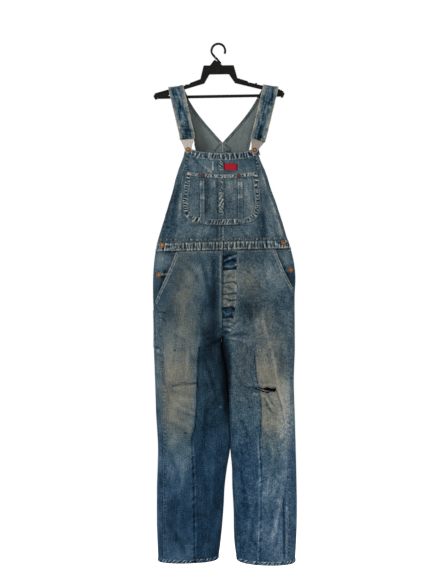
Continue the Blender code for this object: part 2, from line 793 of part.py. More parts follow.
def add_hanger():
    neck_top = [(-48.5, 67.5), (50.5, 66.5)]
    right_top = [(-212, 167), (-206, 157), (-165, 145.3), (-110, 133), (-109, 129.4), (-103, 128.4)]
    right_top += [(-102, 129), (-94, 127), (-92, 123.5), (-59, 111)]
    left_top = [(62, 107.5), (95, 117.5), (97, 121), (119, 126), (120, 124), (126, 124)]
    left_top += [(127, 128.6), (145, 132), (196, 143), (211, 150), (216, 159)]
    left_low = [(210, 172), (204, 172), (204, 158), (171, 151), (114, 139), (54, 124.5), (34, 95.5)]
    right_low = [(-29, 96.5), (-46, 126), (-109, 145), (-165, 156), (-199, 162), (-199, 178), (-206, 178)]
    outline = neck_top + left_top + left_low + right_low + right_top
    flat_plate("hanger_body", outline, HANGER_HALF_THICKNESS, "black_plastic")

    bar = [(-198.6, 166), (203.6, 159), (203.6, 168.5), (-198.6, 176)]
    flat_plate("hanger_bar", bar, BAR_HALF_THICKNESS, "black_plastic")

    data = bpy.data.curves.new("hook_wire", "CURVE")
    data.dimensions = "3D"
    data.bevel_depth = HOOK_WIRE * MM
    data.bevel_resolution = 2
    data.use_fill_caps = True
    centre = (0, -(HOOK_RADIUS - HOOK_WIRE))
    path = arc(HOOK_RADIUS, HOOK_TIP_ANGLE, HOOK_HEEL_ANGLE, 20, centre)
    path += [(-4, -46), (8, -61)]
    spline = data.splines.new("POLY")
    spline.points.add(len(path) - 1)
    for spot, (x, z) in zip(spline.points, path):
        spot.co = (x * MM, 0, z * MM, 1)
    wire = bpy.data.objects.new("hook_wire", data)
    CUTTERS.objects.link(wire)
    bpy.context.view_layer.update()
    mesh = bpy.data.meshes.new_from_object(wire.evaluated_get(bpy.context.evaluated_depsgraph_get()))
    bm = bmesh.new()
    bm.from_mesh(mesh)
    bmesh.ops.remove_doubles(bm, verts=bm.verts, dist=0.00001)
    bm.to_mesh(mesh)
    bm.free()
    bpy.data.objects.remove(wire)
    wire = bpy.data.objects.new("hook_wire", mesh)
    wire.hide_render = True
    wire.display_type = "WIRE"
    CUTTERS.objects.link(wire)
    foot = flat_plate("hanger_hook", [(-15, 50), (-11, 48), (14, 66.5), (-28, 67.1)], 4.2, "black_plastic")
    solid = bpy.data.meshes.new_from_object(foot.evaluated_get(bpy.context.evaluated_depsgraph_get()))
    solid.transform(Matrix.Rotation(math.pi / 2, 4, "X"))
    bm = bmesh.new()
    bm.from_mesh(solid)
    bmesh.ops.remove_doubles(bm, verts=bm.verts, dist=0.00001)
    bm.to_mesh(solid)
    bm.free()
    bpy.data.objects.remove(foot)
    solid.materials.clear()
    hook = add_object("hanger_hook", solid, "black_plastic")
    join = hook.modifiers.new("wire", "BOOLEAN")
    join.operation = "UNION"
    join.solver = "EXACT"
    join.object = wire


add_hanger()
for side_name in SIDES:
    front_panel = add_front_leg(side_name)
    if side_name == "left":
        cut_rip(front_panel)
    add_back_leg(side_name)
    add_hip_piece(side_name)
    add_bib_half(side_name)
    add_back_half(side_name)
    add_strap(side_name)
    add_buckle(side_name)
    add_buttons(side_name)
add_waistband()
add_pocket()
for strip_name, strip_rows in POCKET_STRIPS.items():
    add_bib_strip(strip_name, strip_rows, 2, 8, 2 * (PATCH_WALL + SEAM) + 0.4 - 0.6, "denim", 0.8)
add_bib_strip("label", LABEL, 4, 2, 1.1, "red_label", 0.7)
add_fly()
add_side_strip()
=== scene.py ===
# %% [markdown]
# # Denim bib overalls on a clothes hanger
# The real garment is an old pair of work overalls: indigo twill that years of washing have faded,
# with dirty thighs, puckered seams and a torn knee. The solids already give its shape and its pieces.
# This lesson dresses them. It starts with the frame, which holds those solids and is never moved.

# %% Load the frame
import math
from collections import namedtuple

import bmesh
import bpy
import numpy as np
from mathutils import Matrix, Vector


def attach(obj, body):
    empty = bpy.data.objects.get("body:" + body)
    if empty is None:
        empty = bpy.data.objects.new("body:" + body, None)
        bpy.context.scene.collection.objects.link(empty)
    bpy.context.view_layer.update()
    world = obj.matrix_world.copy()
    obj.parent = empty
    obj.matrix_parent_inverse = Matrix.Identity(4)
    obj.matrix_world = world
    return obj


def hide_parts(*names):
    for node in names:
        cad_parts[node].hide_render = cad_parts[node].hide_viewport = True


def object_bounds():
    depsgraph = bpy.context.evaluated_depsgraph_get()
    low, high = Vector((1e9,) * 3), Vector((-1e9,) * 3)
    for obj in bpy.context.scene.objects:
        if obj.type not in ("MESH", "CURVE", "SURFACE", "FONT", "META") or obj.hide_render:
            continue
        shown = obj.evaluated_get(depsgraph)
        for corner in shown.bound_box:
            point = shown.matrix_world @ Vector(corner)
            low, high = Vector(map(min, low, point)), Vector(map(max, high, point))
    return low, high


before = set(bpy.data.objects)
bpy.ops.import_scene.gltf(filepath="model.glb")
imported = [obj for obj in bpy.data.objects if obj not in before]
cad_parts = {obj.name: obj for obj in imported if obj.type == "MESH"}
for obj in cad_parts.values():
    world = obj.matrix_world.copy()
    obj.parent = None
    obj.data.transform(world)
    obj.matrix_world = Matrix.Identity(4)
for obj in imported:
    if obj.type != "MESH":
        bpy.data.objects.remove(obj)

MM = 0.001
cad_low, cad_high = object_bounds()
print("solids:", len(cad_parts), "box in mm:", [round((h - l) / MM) for l, h in zip(cad_low, cad_high)])

# %% [markdown]
# ## Camera, light and floor
# The photograph looks straight at a flat, hanging garment, so a long lens from far away keeps its
# outline square. One pixel of the picture is 3.25 mm on the cloth. The light is soft and nearly
# even: a pale world, one large lamp from the upper left to show the folds, a weaker one opposite, and one
# behind for the views of the back.

# %% Camera
PIXEL = 3.25 * MM
PICTURE_WIDTH, PICTURE_HEIGHT = 433, 577
CROWN_PX_X, CROWN_PX_Y = 218.4, 44.4  # where the hook's crown is in the picture
SHARP_PLANE = -0.025  # the depth at which the scale is exact
CAMERA_DISTANCE = 10.0
SENSOR = 36.0


def linked(name, data):
    """A new object in the scene."""
    made = bpy.data.objects.new(name, data)
    bpy.context.scene.collection.objects.link(made)
    return made


camera_data = bpy.data.cameras.new("camera")
camera = linked("camera", camera_data)
bpy.context.scene.camera = camera
camera_data.sensor_width = SENSOR
camera_data.lens = SENSOR * CAMERA_DISTANCE / (PICTURE_HEIGHT * PIXEL)
camera.location = (
    (PICTURE_WIDTH / 2 - CROWN_PX_X) * PIXEL,
    SHARP_PLANE - CAMERA_DISTANCE,
    (CROWN_PX_Y - PICTURE_HEIGHT / 2) * PIXEL,
)
camera.rotation_euler = (math.pi / 2, 0, 0)
print("lens", round(camera_data.lens, 1), "mm, camera at", [round(v, 3) for v in camera.location])


# %% Light and floor
def add_lamp(name, place, aim, size, power):
    """A square soft lamp at place, facing aim."""
    data = bpy.data.lights.new(name, "AREA")
    data.shape = "SQUARE"
    data.size = size
    data.energy = power
    lamp = linked(name, data)
    lamp.location = place
    lamp.rotation_mode = "QUATERNION"
    lamp.rotation_quaternion = (Vector(aim) - Vector(place)).to_track_quat("-Z", "Y")


GARMENT_MIDDLE = (0.02, 0.0, -0.85)
add_lamp("key_lamp", (-2.1, -2.0, 1.2), GARMENT_MIDDLE, 0.9, 150)
add_lamp("side_lamp", (2.6, -1.3, -0.4), GARMENT_MIDDLE, 1.0, 30)
add_lamp("back_lamp", (1.4, 2.6, 0.8), GARMENT_MIDDLE, 1.2, 110)

world = bpy.data.worlds.new("pale_room")
world.use_nodes = True
world.node_tree.nodes["Background"].inputs["Color"].default_value = (1.0, 1.0, 1.0, 1)
world.node_tree.nodes["Background"].inputs["Strength"].default_value = 1.0
bpy.context.scene.world = world
bpy.context.scene.view_settings.view_transform = "Standard"

FLOOR_BELOW_HEM = 0.24
bpy.ops.mesh.primitive_plane_add(size=12, location=(0, 0, cad_low.z - FLOOR_BELOW_HEM))
floor = bpy.context.object
floor.name = "floor"
print("floor at", round(floor.location.z, 3))

# %% [markdown]
# ## Writing shader maths
# A material is a small graph of nodes. Written out by hand a sum takes three lines, so this cell makes
# a socket that can stand in ordinary Python expressions. `Paint.node` adds any other kind of node.


# %% A socket for expressions, and a paint box
def put(socket, value):
    """Sets or links one input socket."""
    if isinstance(value, Wire):
        socket.id_data.links.new(value.socket, socket)
    else:
        socket.default_value = value


class Wire:
    """A number that varies over a surface."""

    def __init__(self, socket):
        self.socket = socket

    def calc(self, operation, *values):
        node = self.socket.id_data.nodes.new("ShaderNodeMath")
        node.operation = operation
        for slot, value in zip(node.inputs, values):
            put(slot, value)
        return Wire(node.outputs[0])

    def __add__(self, other):
        return self.calc("ADD", self, other)

    def __radd__(self, other):
        return self.calc("ADD", other, self)

    def __sub__(self, other):
        return self.calc("SUBTRACT", self, other)

    def __rsub__(self, other):
        return self.calc("SUBTRACT", other, self)

    def __mul__(self, other):
        return self.calc("MULTIPLY", self, other)

    def __rmul__(self, other):
        return self.calc("MULTIPLY", other, self)

    def sine(self):
        return self.calc("SINE", self)

    def between(self, low, high):
        """0 below low, 1 above high, and a straight climb from one to the other."""
        node = self.socket.id_data.nodes.new("ShaderNodeMapRange")
        for name, value in (("Value", self), ("From Min", low), ("From Max", high)):
            put(node.inputs[name], value)
        return Wire(node.outputs[0])


print("a wire has:", [name for name in vars(Wire) if not name.startswith("__")])

# %% A paint box
def ink(red, green, blue):
    """A colour as the photograph shows it, 0 to 255, in the linear numbers that a shader takes."""
    parts = [c / 255 for c in (red, green, blue)]
    return (*[p / 12.92 if p < 0.04045 else ((p + 0.055) / 1.055) ** 2.4 for p in parts], 1)


class Paint:
    """One material: a Principled shader and the nodes that feed it."""

    def __init__(self, name, **constants):
        self.material = bpy.data.materials.new(name)
        self.material.use_nodes = True
        self.tree = self.material.node_tree
        self.shader = self.tree.nodes["Principled BSDF"]
        for key, value in constants.items():
            self.shader.inputs[key.replace("_", " ")].default_value = value

    def node(self, kind, settings=(), inputs=(), out=0):
        made = self.tree.nodes.new("ShaderNode" + kind)
        for key, value in dict(settings).items():
            if key == "stops":
                while len(made.color_ramp.elements) < len(value):
                    made.color_ramp.elements.new(0.5)
                for element, (at, color) in zip(made.color_ramp.elements, value):
                    element.position = at
                    element.color = color
            else:
                setattr(made, key, value)
        for key, value in dict(inputs).items():
            put(made.inputs[key], value)
        return Wire(made.outputs[out])

    def attribute(self, name, out="Fac"):
        return self.node("Attribute", {"attribute_name": name}, out=out)

    def noise(self, where, scale, detail=3.0, out=0):
        inputs = {"Vector": where, "Scale": scale, "Detail": detail}
        return self.node("TexNoise", inputs=inputs, out=out)

    def stretched(self, where, scale):
        return self.node("Mapping", inputs={"Vector": where, "Scale": scale})

    def mix(self, factor, first, second, blend="MIX"):
        settings = {"data_type": "RGBA", "blend_type": blend}
        return self.node("Mix", settings, {0: factor, 6: first, 7: second}, out=2)

    def bump(self, height, strength, distance):
        inputs = {"Height": height, "Strength": strength, "Distance": distance}
        return self.node("Bump", inputs=inputs)

    def feed(self, **sockets):
        for key, value in sockets.items():
            put(self.shader.inputs[key.replace("_", " ")], value)
        return self.material


print("a paint box has:", [name for name in vars(Paint) if not name.startswith("__")])

# %% Paint for the floor
floor_paint = Paint("floor_paint", Roughness=0.8)
floor_grain = floor_paint.noise(floor_paint.node("TexCoord", out="Object"), 3.0)
floor_tone = floor_paint.mix(floor_grain, (0.955, 0.955, 0.955, 1), (0.975, 0.975, 0.975, 1))
floor.data.materials.append(floor_paint.feed(Base_Color=floor_tone))
print("floor material has", len(floor_paint.tree.nodes), "nodes")

# %% [markdown]
# ## Worn denim
# Denim is a twill: white weft under blue warp, so it fades to white where it rubs and stays blue in the
# hollows. Every panel below stores how faded, how dirty and how rubbed each point is, and this one
# material turns those numbers into colour. Fine slubs and the twill's diagonal come from the material,
# measured along the cut cloth, so they run with each piece.
# The fade number also carries painted shade in a few places: the gap between the legs, the mouths of the
# pockets, the fly's edge, the tear and some folds.

# %% Denim
LAMP_GAIN = 3.2  # how much brighter the lamps make a pale surface than the photograph's colour


def dye(red, green, blue):
    """A colour as seen in the photograph, with the lamps' share taken out."""
    return tuple(c / LAMP_GAIN for c in ink(red, green, blue)[:3]) + (1,)


DENIM_STOPS = [
    (0.00, dye(4, 16, 27)),
    (0.20, dye(14, 41, 58)),
    (0.36, dye(38, 71, 91)),
    (0.52, dye(70, 101, 119)),
    (0.72, dye(120, 141, 149)),
    (1.00, dye(206, 208, 202)),
]
EARTH_STOPS = [
    (0.00, dye(24, 30, 28)),
    (0.45, dye(100, 102, 90)),
    (1.00, dye(184, 178, 160)),
]
TWILL_PITCH = 1.5 * MM


CLEAN_BLUE = (0.78, 0.98, 1.30, 1)  # what cloth that never met the dirt keeps of each colour


def make_denim(name):
    """The right side: a ramp from dark warp to white weft, with dirt laid over it."""
    paint = Paint(name, Roughness=0.95, Specular_IOR_Level=0.05)
    cut = paint.attribute("cut", "Vector")
    cloud = paint.noise(cut, 9.0, 4.0)
    mottle = paint.noise(cut, 70.0, 4.0)
    fleck = paint.noise(cut, 290.0, 2.0)
    warp = paint.noise(paint.stretched(cut, (620.0, 26.0, 1)), 1.0, 2.0)
    weft = paint.noise(paint.stretched(cut, (26.0, 620.0, 1)), 1.0, 2.0)
    parts = paint.node("SeparateXYZ", inputs={0: cut})
    down = Wire(parts.socket.node.outputs[1])
    twill = ((parts * 2.0 + down) * (2 * math.pi / TWILL_PITCH / 2.2)).sine() * 0.5 + 0.5
    grain = (cloud - 0.5) * 0.30 + (mottle - 0.5) * 0.16 + (fleck - 0.5) * 0.85
    grain = grain + (warp - 0.5) * 0.42 + (weft - 0.5) * 0.16 + (twill - 0.5) * 0.09
    shade = paint.attribute("fade") + grain + paint.attribute("rub") * 0.30
    blue = paint.node("ValToRGB", {"stops": DENIM_STOPS}, {0: shade})
    earth = paint.node("ValToRGB", {"stops": EARTH_STOPS}, {0: shade * 0.9 + 0.06})
    clean = (paint.attribute("dirt") * -1.0).between(0.0, 1.0)
    blue = paint.mix(clean, blue, CLEAN_BLUE, "MULTIPLY")
    patchy = 0.45 + cloud * 0.5 + (mottle - 0.5) * 0.5 + (fleck - 0.5) * 0.7
    dirty = paint.mix((paint.attribute("dirt") * patchy * 1.45).between(0.0, 1.0), blue, earth)
    spotted = paint.mix(paint.attribute("spot").between(0.1, 0.9), dirty, dye(22, 28, 30))
    weave = paint.bump(twill * 0.6 + warp * 0.5 + weft * 0.3 + fleck * 0.5, 0.35, 0.0004)
    soft = 0.86 + mottle * 0.12
    return paint.feed(Base_Color=spotted, Roughness=soft, Normal=weave)


denim = make_denim("worn_denim")
print("denim colours:", len(DENIM_STOPS), "twill pitch", TWILL_PITCH / MM, "mm")

# %% [markdown]
# ## Inside cloth, thread, metal and plastic
# The wrong side of a twill shows more weft, so it is paler and greyer. Old brass is bright only where it is
# touched, so each metal mixes a bright and a dull colour by a tarnish noise and by how deep the place lies.


# %% The other materials
def make_inside():
    """The wrong side of the denim, where the pale weft lies on top."""
    paint = Paint("denim_inside", Roughness=0.95, Specular_IOR_Level=0.05)
    cut = paint.attribute("cut", "Vector")
    cloud = paint.noise(cut, 14.0, 4.0)
    warp = paint.noise(paint.stretched(cut, (520.0, 40.0, 1)), 1.0, 2.0)
    mottle = paint.noise(cut, 260.0, 3.0)
    grain = cloud * 0.30 + (warp - 0.5) * 0.4 + (mottle - 0.5) * 0.7
    shade = paint.attribute("fade") * 0.5 + grain + 0.18
    stops = [(0.0, dye(70, 84, 84)), (0.5, dye(120, 134, 132)), (1.0, dye(172, 180, 176))]
    tone = paint.node("ValToRGB", {"stops": stops}, {0: shade})
    return paint.feed(Base_Color=tone, Normal=paint.bump(warp + mottle, 0.3, 0.0004))


def make_thread(name, pale, dark):
    """Cotton that is paler and darker along its length."""
    paint = Paint(name, Roughness=0.85)
    where = paint.node("TexCoord", out="Object")
    tone = paint.noise(where, 60.0, 2.0).between(0.35, 0.65)
    return paint.feed(Base_Color=paint.mix(tone, pale, dark))


def make_metal(name, bright, dull, roughness, scale=900.0):
    """Worn metal: bright on what the hand rubs, dull and rougher in between."""
    paint = Paint(name, Metallic=0.75)
    where = paint.node("TexCoord", out="Object")
    tarnish = paint.noise(where, scale, 4.0).between(0.35, 0.68)
    low = paint.attribute("low")
    dark = (tarnish * 0.6 + low * 1.3).between(0.0, 1.0)
    tone = paint.mix(dark, bright, dull)
    rough = roughness + dark * 0.25
    return paint.feed(Base_Color=tone, Roughness=rough, Normal=paint.bump(tarnish, 0.15, 0.0002))


def make_plastic():
    """Black moulded plastic, scuffed along its arms."""
    paint = Paint("hanger_black", Specular_IOR_Level=0.1)
    where = paint.node("TexCoord", out="Object")
    scuffs = paint.noise(paint.stretched(where, (90.0, 90.0, 400.0)), 1.0, 4.0).between(0.5, 0.75)
    tone = paint.mix(scuffs, ink(4, 5, 3), ink(16, 17, 14))
    rough = 0.34 + scuffs * 0.2
    grain = paint.noise(where, 2500.0, 2.0)
    return paint.feed(Base_Color=tone, Roughness=rough, Normal=paint.bump(grain, 0.08, 0.0002))


def make_label():
    """A plain woven patch; rub is how far its dark turned edge reaches."""
    paint = Paint("red_weave", Roughness=0.8, Specular_IOR_Level=0.05)
    cut = paint.attribute("cut", "Vector")
    warp = paint.noise(paint.stretched(cut, (2400.0, 120.0, 1)), 1.0, 2.0)
    weft = paint.noise(paint.stretched(cut, (120.0, 2400.0, 1)), 1.0, 2.0)
    shade = (warp + weft) * 0.5
    edge = paint.attribute("rub")
    tone = paint.mix(shade.between(0.3, 0.7), dye(168, 14, 34), dye(210, 44, 62))
    worn = paint.mix(edge, tone, dye(62, 16, 22))
    return paint.feed(Base_Color=worn, Normal=paint.bump(shade, 0.3, 0.0003))


inside = make_inside()
pale_thread = make_thread("pale_thread", dye(186, 176, 150), dye(128, 122, 104))
cotton_thread = make_thread("torn_cotton", dye(205, 206, 200), dye(150, 160, 168))
brass = make_metal("worn_brass", ink(140, 94, 50), ink(38, 25, 14), 0.5)
copper = make_metal("worn_copper", ink(88, 46, 36), ink(28, 18, 16), 0.5)
buckle_metal = make_metal("dull_buckle", ink(128, 122, 116), ink(84, 78, 72), 0.5, 300.0)
plastic = make_plastic()
red_weave = make_label()
print("materials:", len(bpy.data.materials))

# %% [markdown]
# ## The form of the solids
# The solids come from a few tables: how wide and deep the trunk and the legs are at each level. The same
# tables are repeated here, as functions that take whole arrays, so that every piece of cloth can be
# made afresh on exactly the same form with thousands of points in place of dozens.
# A drop is how far a point lies below the hook's crown, in millimetres.


# %% Smooth curves through tables
def through(rows, column=1):
    """A smooth function through one column of a table, level past both ends."""
    stations, values = np.array(rows, float)[:, (0, column)].T
    slopes = np.gradient(values, stations)

    def value(at):
        at = np.clip(at, stations[0], stations[-1])
        i = np.clip(np.searchsorted(stations, at, side="right") - 1, 0, len(stations) - 2)
        step = stations[i + 1] - stations[i]
        t = (at - stations[i]) / step
        start = values[i] * (1 + 2 * t) + slopes[i] * step * t
        end = values[i + 1] * (3 - 2 * t) + slopes[i + 1] * step * (t - 1)
        return start * (1 - t) ** 2 + end * t**2

    return value


def smooth(t):
    t = np.clip(t, 0.0, 1.0)
    return t * t * (3 - 2 * t)


print("a smooth step, a quarter of the way up:", smooth(0.25))

# %% Outlines of the cloth
# drop, right edge, left edge, front depth, back depth
TRUNK = (
    (330, -103, 122, 28, 20),
    (369, -115, 135, 30, 24),
    (421, -135, 155, 33, 28),
    (473, -148, 171, 36, 33),
    (525, -164, 190, 39, 37),
    (577, -180, 207, 41, 41),
    (640, -199, 226, 44, 45),
    (670, -205, 236, 46, 48),
    (707, -210, 245, 49, 54),
    (759, -213, 251, 52, 60),
    (811, -213, 249, 53, 62),
    (915, -210, 249, 50, 56),
    (993, -210, 249, 47, 51),
    (1097, -206, 246, 45, 46),
    (1201, -203, 249, 43, 43),
    (1305, -197, 252, 41, 41),
    (1435, -200, 255, 39, 39),
    (1565, -200, 255, 37, 37),
    (1680, -196, 250, 35, 35),
)
# drop, right leg, left leg: the centre line, then the inseams; the cloth of the two legs touches as far as
# the knees, where the solids stand 1.5 mm apart
INNER = (
    (330, 12, 12),
    (870, 10, 10),
    (957, 9, 9),
    (1010, 17.1, 16.2),
    (1061, 27.2, 26.2),
    (1113, 30.7, 29.7),
    (1227, 37.2, 36.2),
    (1315, 38.6, 38.2),
    (1383, 28, 44),
    (1435, 21.5, 45),
    (1513, 17, 49),
    (1643, 5, 54),
    (1680, 0, 60),
)
ARMHOLE_DEPTH = ((330, 19, 18), (400, 17, 19), (480, 12, 15), (560, 6, 8), (640, 0.2, 0.2))
BACK_ARMHOLE = ((317, 92), (350, 86), (400, 91), (480, 124), (560, 172), (640, 212.5))
V_POINT_DROP, V_POINT_DEPTH = 316.7, 20.5
# share of the way down, outer, outer drop, inner, inner drop, depth
WINGS = (
    (0.0, 154, 197, 113, 172, 16),
    (0.3, 121, 228, 92, 207, 18),
    (0.65, 102, 268, 56, 254, 19.5),
    (1.0, 92, V_POINT_DROP, 0.4, V_POINT_DROP, V_POINT_DEPTH),
)
# drop, then how far in from the outseam the slash lies on the right and on the left
SLASH = ((669, 70, 53), (717, 57, 44), (762, 39, 27), (797, 23, 5), (803, 20, 0), (834, 6, 0), (842, 0, 0))
# side, face, top, bottom, share at top, share at bottom, width, depth
FOLDS = (
    ("right", "front", 700, 1240, 0.60, 0.72, 0.10, 6),
    ("right", "front", 1010, 1420, 0.34, 0.30, 0.09, 4),
    ("right", "front", 1180, 1690, 0.62, 0.55, 0.08, 5),
    ("left", "front", 820, 1150, 0.72, 0.42, 0.09, -5),
    ("left", "front", 1080, 1330, 0.30, 0.36, 0.10, 6),
    ("left", "front", 1240, 1690, 0.62, 0.60, 0.09, 5),
    ("right", "back", 760, 1180, 0.55, 0.66, 0.12, 8),
    ("right", "back", 1100, 1500, 0.40, 0.45, 0.10, 6),
    ("right", "back", 1350, 1690, 0.66, 0.58, 0.09, 5),
    ("left", "back", 740, 1160, 0.50, 0.64, 0.11, 8),
    ("left", "back", 1080, 1480, 0.36, 0.42, 0.10, 6),
    ("left", "back", 1380, 1690, 0.60, 0.66, 0.09, 5),
)
HEM_LINES = {"right": (2, 9, -7), "left": (4, 16, -5)}  # outer, middle, inner
print("long folds:", len(FOLDS))

# %% Sides, seams and walls
SIDES = {"right": -1, "left": 1}  # the wearer's right is -X
FACING = {"front": -1, "back": 1}
OUTER = {"right": through(TRUNK, 1), "left": through(TRUNK, 2)}
DEPTH = {"front": through(TRUNK, 3), "back": through(TRUNK, 4)}
EDGE_DEPTH = {"front": through(ARMHOLE_DEPTH, 1), "back": through(ARMHOLE_DEPTH, 2)}
INSEAM = {"right": through(INNER, 1), "left": through(INNER, 2)}
SLASH_IN = {"right": through(SLASH, 1), "left": through(SLASH, 2)}
BACK_OUT = through(BACK_ARMHOLE)

SEAM = 0.3  # gap between two solids
WALL = 2.0
PATCH_WALL = 1.4
BIB_TOP = 331.0
WAIST_TOP, WAIST_BOTTOM = 640.0, 670.0
FORK_START, FORK_END, CROTCH_END = 900.0, 975.0, 1040.0
HEM = 1678.0
MIDDLE = 13.5
BOXINESS = 0.8
SLASH_MOUTH = 4.6
WAIST_CLIMB = 0.024  # how steeply the waist rises to the wearer's left
CLIMB_TOP, CLIMB_BOTTOM = 360.0, 960.0
print("half width at the waist:", round(float(OUTER["left"](655) - OUTER["right"](655)) / 2, 1))

# %% [markdown]
# ## Surfaces
# Each surface is a function of two numbers, and it gives back points in millimetres. On a leg panel the
# first number runs from the outseam, 0, to the inseam, 1, round the curve of the leg; the second is the
# drop. The waist of this garment climbs a little to one side, which `place` adds to every point.


# %% Leg surfaces
def waist_lift(x, drop):
    middle = (WAIST_TOP + WAIST_BOTTOM) / 2
    reach = np.where(drop < middle, middle - CLIMB_TOP, CLIMB_BOTTOM - middle)
    return WAIST_CLIMB * (x - MIDDLE) * smooth(1 - abs(drop - middle) / reach)


def place(x, y, drop):
    return np.stack(np.broadcast_arrays(x, y, waist_lift(x, drop) - drop), axis=-1).astype(float)


def fork(drop):
    """0 where a panel ends at the centre line, 1 where it ends at its inseam."""
    return smooth((drop - FORK_START) / (FORK_END - FORK_START))


def folds(side, face, drop, share):
    total = 0.0 * share * drop
    for fold_side, fold_face, top, bottom, at_top, at_bottom, width, depth in FOLDS:
        if (fold_side, fold_face) == (side, face):
            t = np.clip((drop - top) / (bottom - top), 0, 1)
            centre = at_top + (at_bottom - at_top) * t
            total = total + depth * np.exp(-(((share - centre) / width) ** 2)) * np.sin(math.pi * t)
    return total * smooth(share / 0.15) * smooth((1 - share) / 0.15)


def leg_xy(side, face, drop, share):
    end = math.pi / 2 * fork(drop)
    turn = -math.pi / 2 + share * (math.pi / 2 + end)
    outer = OUTER[side](drop)
    inner = INSEAM[side](drop) + SIDES[side] * SEAM / 2
    x = outer + (inner - outer) * (np.sin(turn) + 1) / (np.sin(end) + 1)
    depth = DEPTH[face](drop) * np.maximum(np.cos(turn), 0.0) ** BOXINESS
    crotch = fork(drop) * smooth((CROTCH_END - drop) / 60) * smooth((share - 0.8) / 0.2)
    return x, FACING[face] * np.maximum(depth - folds(side, face, drop, share), 0.2 + 0.6 * crotch)


def leg_share(side, x, drop):
    """The share of a leg panel that lies at x."""
    end = math.pi / 2 * fork(drop)
    outer = OUTER[side](drop)
    part = (x - outer) / (INSEAM[side](drop) - outer) * (np.sin(end) + 1) - 1
    return (np.arcsin(np.clip(part, -1, 1)) + math.pi / 2) / (math.pi / 2 + end)


def leg_spot(side, face, drop, share, inward=0.0):
    share, drop = np.broadcast_arrays(np.asarray(share, float), np.asarray(drop, float))
    x, y = leg_xy(side, face, drop, share)
    if np.any(inward):
        ahead = leg_xy(side, face, drop, np.minimum(share + 0.01, 1.0))
        behind = leg_xy(side, face, drop, np.maximum(share - 0.01, 0.0))
        along_x, along_y = ahead[0] - behind[0], ahead[1] - behind[1]
        step = inward * SIDES[side] * -FACING[face] / np.hypot(along_x, along_y)
        x, y = x + along_y * step, y - along_x * step
    outer, middle, inner = HEM_LINES[side]
    bow = middle - (outer + inner) / 2
    hem = outer + (inner - outer) * share + bow * 4 * share * (1 - share)
    return place(x, y, drop + hem * smooth((drop - FORK_END) / (HEM - FORK_END)))


def slash_share(side, drop):
    inward = SLASH_IN[side](drop)
    share = leg_share(side, OUTER[side](drop) - SIDES[side] * inward, drop)
    return np.where(inward > 0.5, share, 0.0)


print("a point of the left knee:", leg_spot("left", "front", 1120.0, 0.5).round(1))

# %% Trunk and back surfaces
def trunk_spot(x, drop, out=0.0, edge=None):
    """The front above the legs; edge is how far its side edges stand off the side seams."""
    right, left = OUTER["right"](drop), OUTER["left"](drop)
    across = np.clip(abs(2 * x - right - left) / (left - right), 0, 1)
    rise = np.cos(np.arcsin(across)) ** BOXINESS
    low = 0.0 if edge is None else edge(drop)
    return place(x, -(low + (DEPTH["front"](drop) - low) * rise) - out, drop)


def bib_spot(x, drop, out=0.0):
    return trunk_spot(x, drop, out, EDGE_DEPTH["front"])


def back_spot(side, a, b):
    """The back above the waist and its wing: b is -1 at the strap, 0 at the V's point, 1 at the waist."""
    a, b = np.broadcast_arrays(np.asarray(a, float), np.asarray(b, float))
    part = np.sin(a * math.pi / 2)
    share = np.clip(1 + b, 0, 1)
    outer, outer_drop, inner, inner_drop, depth = (through(WINGS, i)(share) for i in range(1, 6))
    wing = place(
        MIDDLE + SIDES[side] * (inner + (outer - inner) * part),
        depth,
        inner_drop + (outer_drop - inner_drop) * part,
    )
    drop = V_POINT_DROP + (WAIST_TOP - V_POINT_DROP) * np.clip(b, 0, 1)
    edge = EDGE_DEPTH["back"](drop)
    deep = edge + (DEPTH["back"](drop) - edge) * np.cos(a * math.pi / 2) ** BOXINESS
    x = MIDDLE + SIDES[side] * (SEAM / 2 + (BACK_OUT(drop) - SEAM / 2) * part)
    low = place(x, V_POINT_DEPTH + (deep - V_POINT_DEPTH) * smooth(b / 0.3), drop)
    return np.where((b < 0)[..., None], wing, low)


print("the middle of the waist:", trunk_spot(0.0, WAIST_TOP).round(1))

# %% [markdown]
# ## Creases and crumples
# Nothing repeats on worn cloth, so the creases are listed, one row each: where a crease starts and
# ends, how wide and deep it is, and how far it bows. A minus sign makes a ridge. Places on the front are
# written in the photograph's own pixels, since that is how they were measured, and `seen` turns them
# into millimetres. The hidden sides carry creases of the same kinds.


# %% Random bumps
def seen(px, py):
    return (px - CROWN_PX_X) * PIXEL / MM, (py - CROWN_PX_Y) * PIXEL / MM


def bumps(x, y, size, seed):
    """Smooth random bumps of about that size, from -1 to 1."""
    lattice = np.random.default_rng(seed).uniform(-1, 1, (61, 61))
    x, y = np.broadcast_arrays(np.asarray(x, float) / size, np.asarray(y, float) / size)
    i, j = np.floor(x).astype(int), np.floor(y).astype(int)
    u, v = smooth(x - i), smooth(y - j)
    low = lattice[i % 61, j % 61] * (1 - u) + lattice[(i + 1) % 61, j % 61] * u
    high = lattice[i % 61, (j + 1) % 61] * (1 - u) + lattice[(i + 1) % 61, (j + 1) % 61] * u
    return low * (1 - v) + high * v


print("three bumps:", bumps(np.array([0.0, 5.0, 10.0]), 0.0, 8.0, 1).round(2))

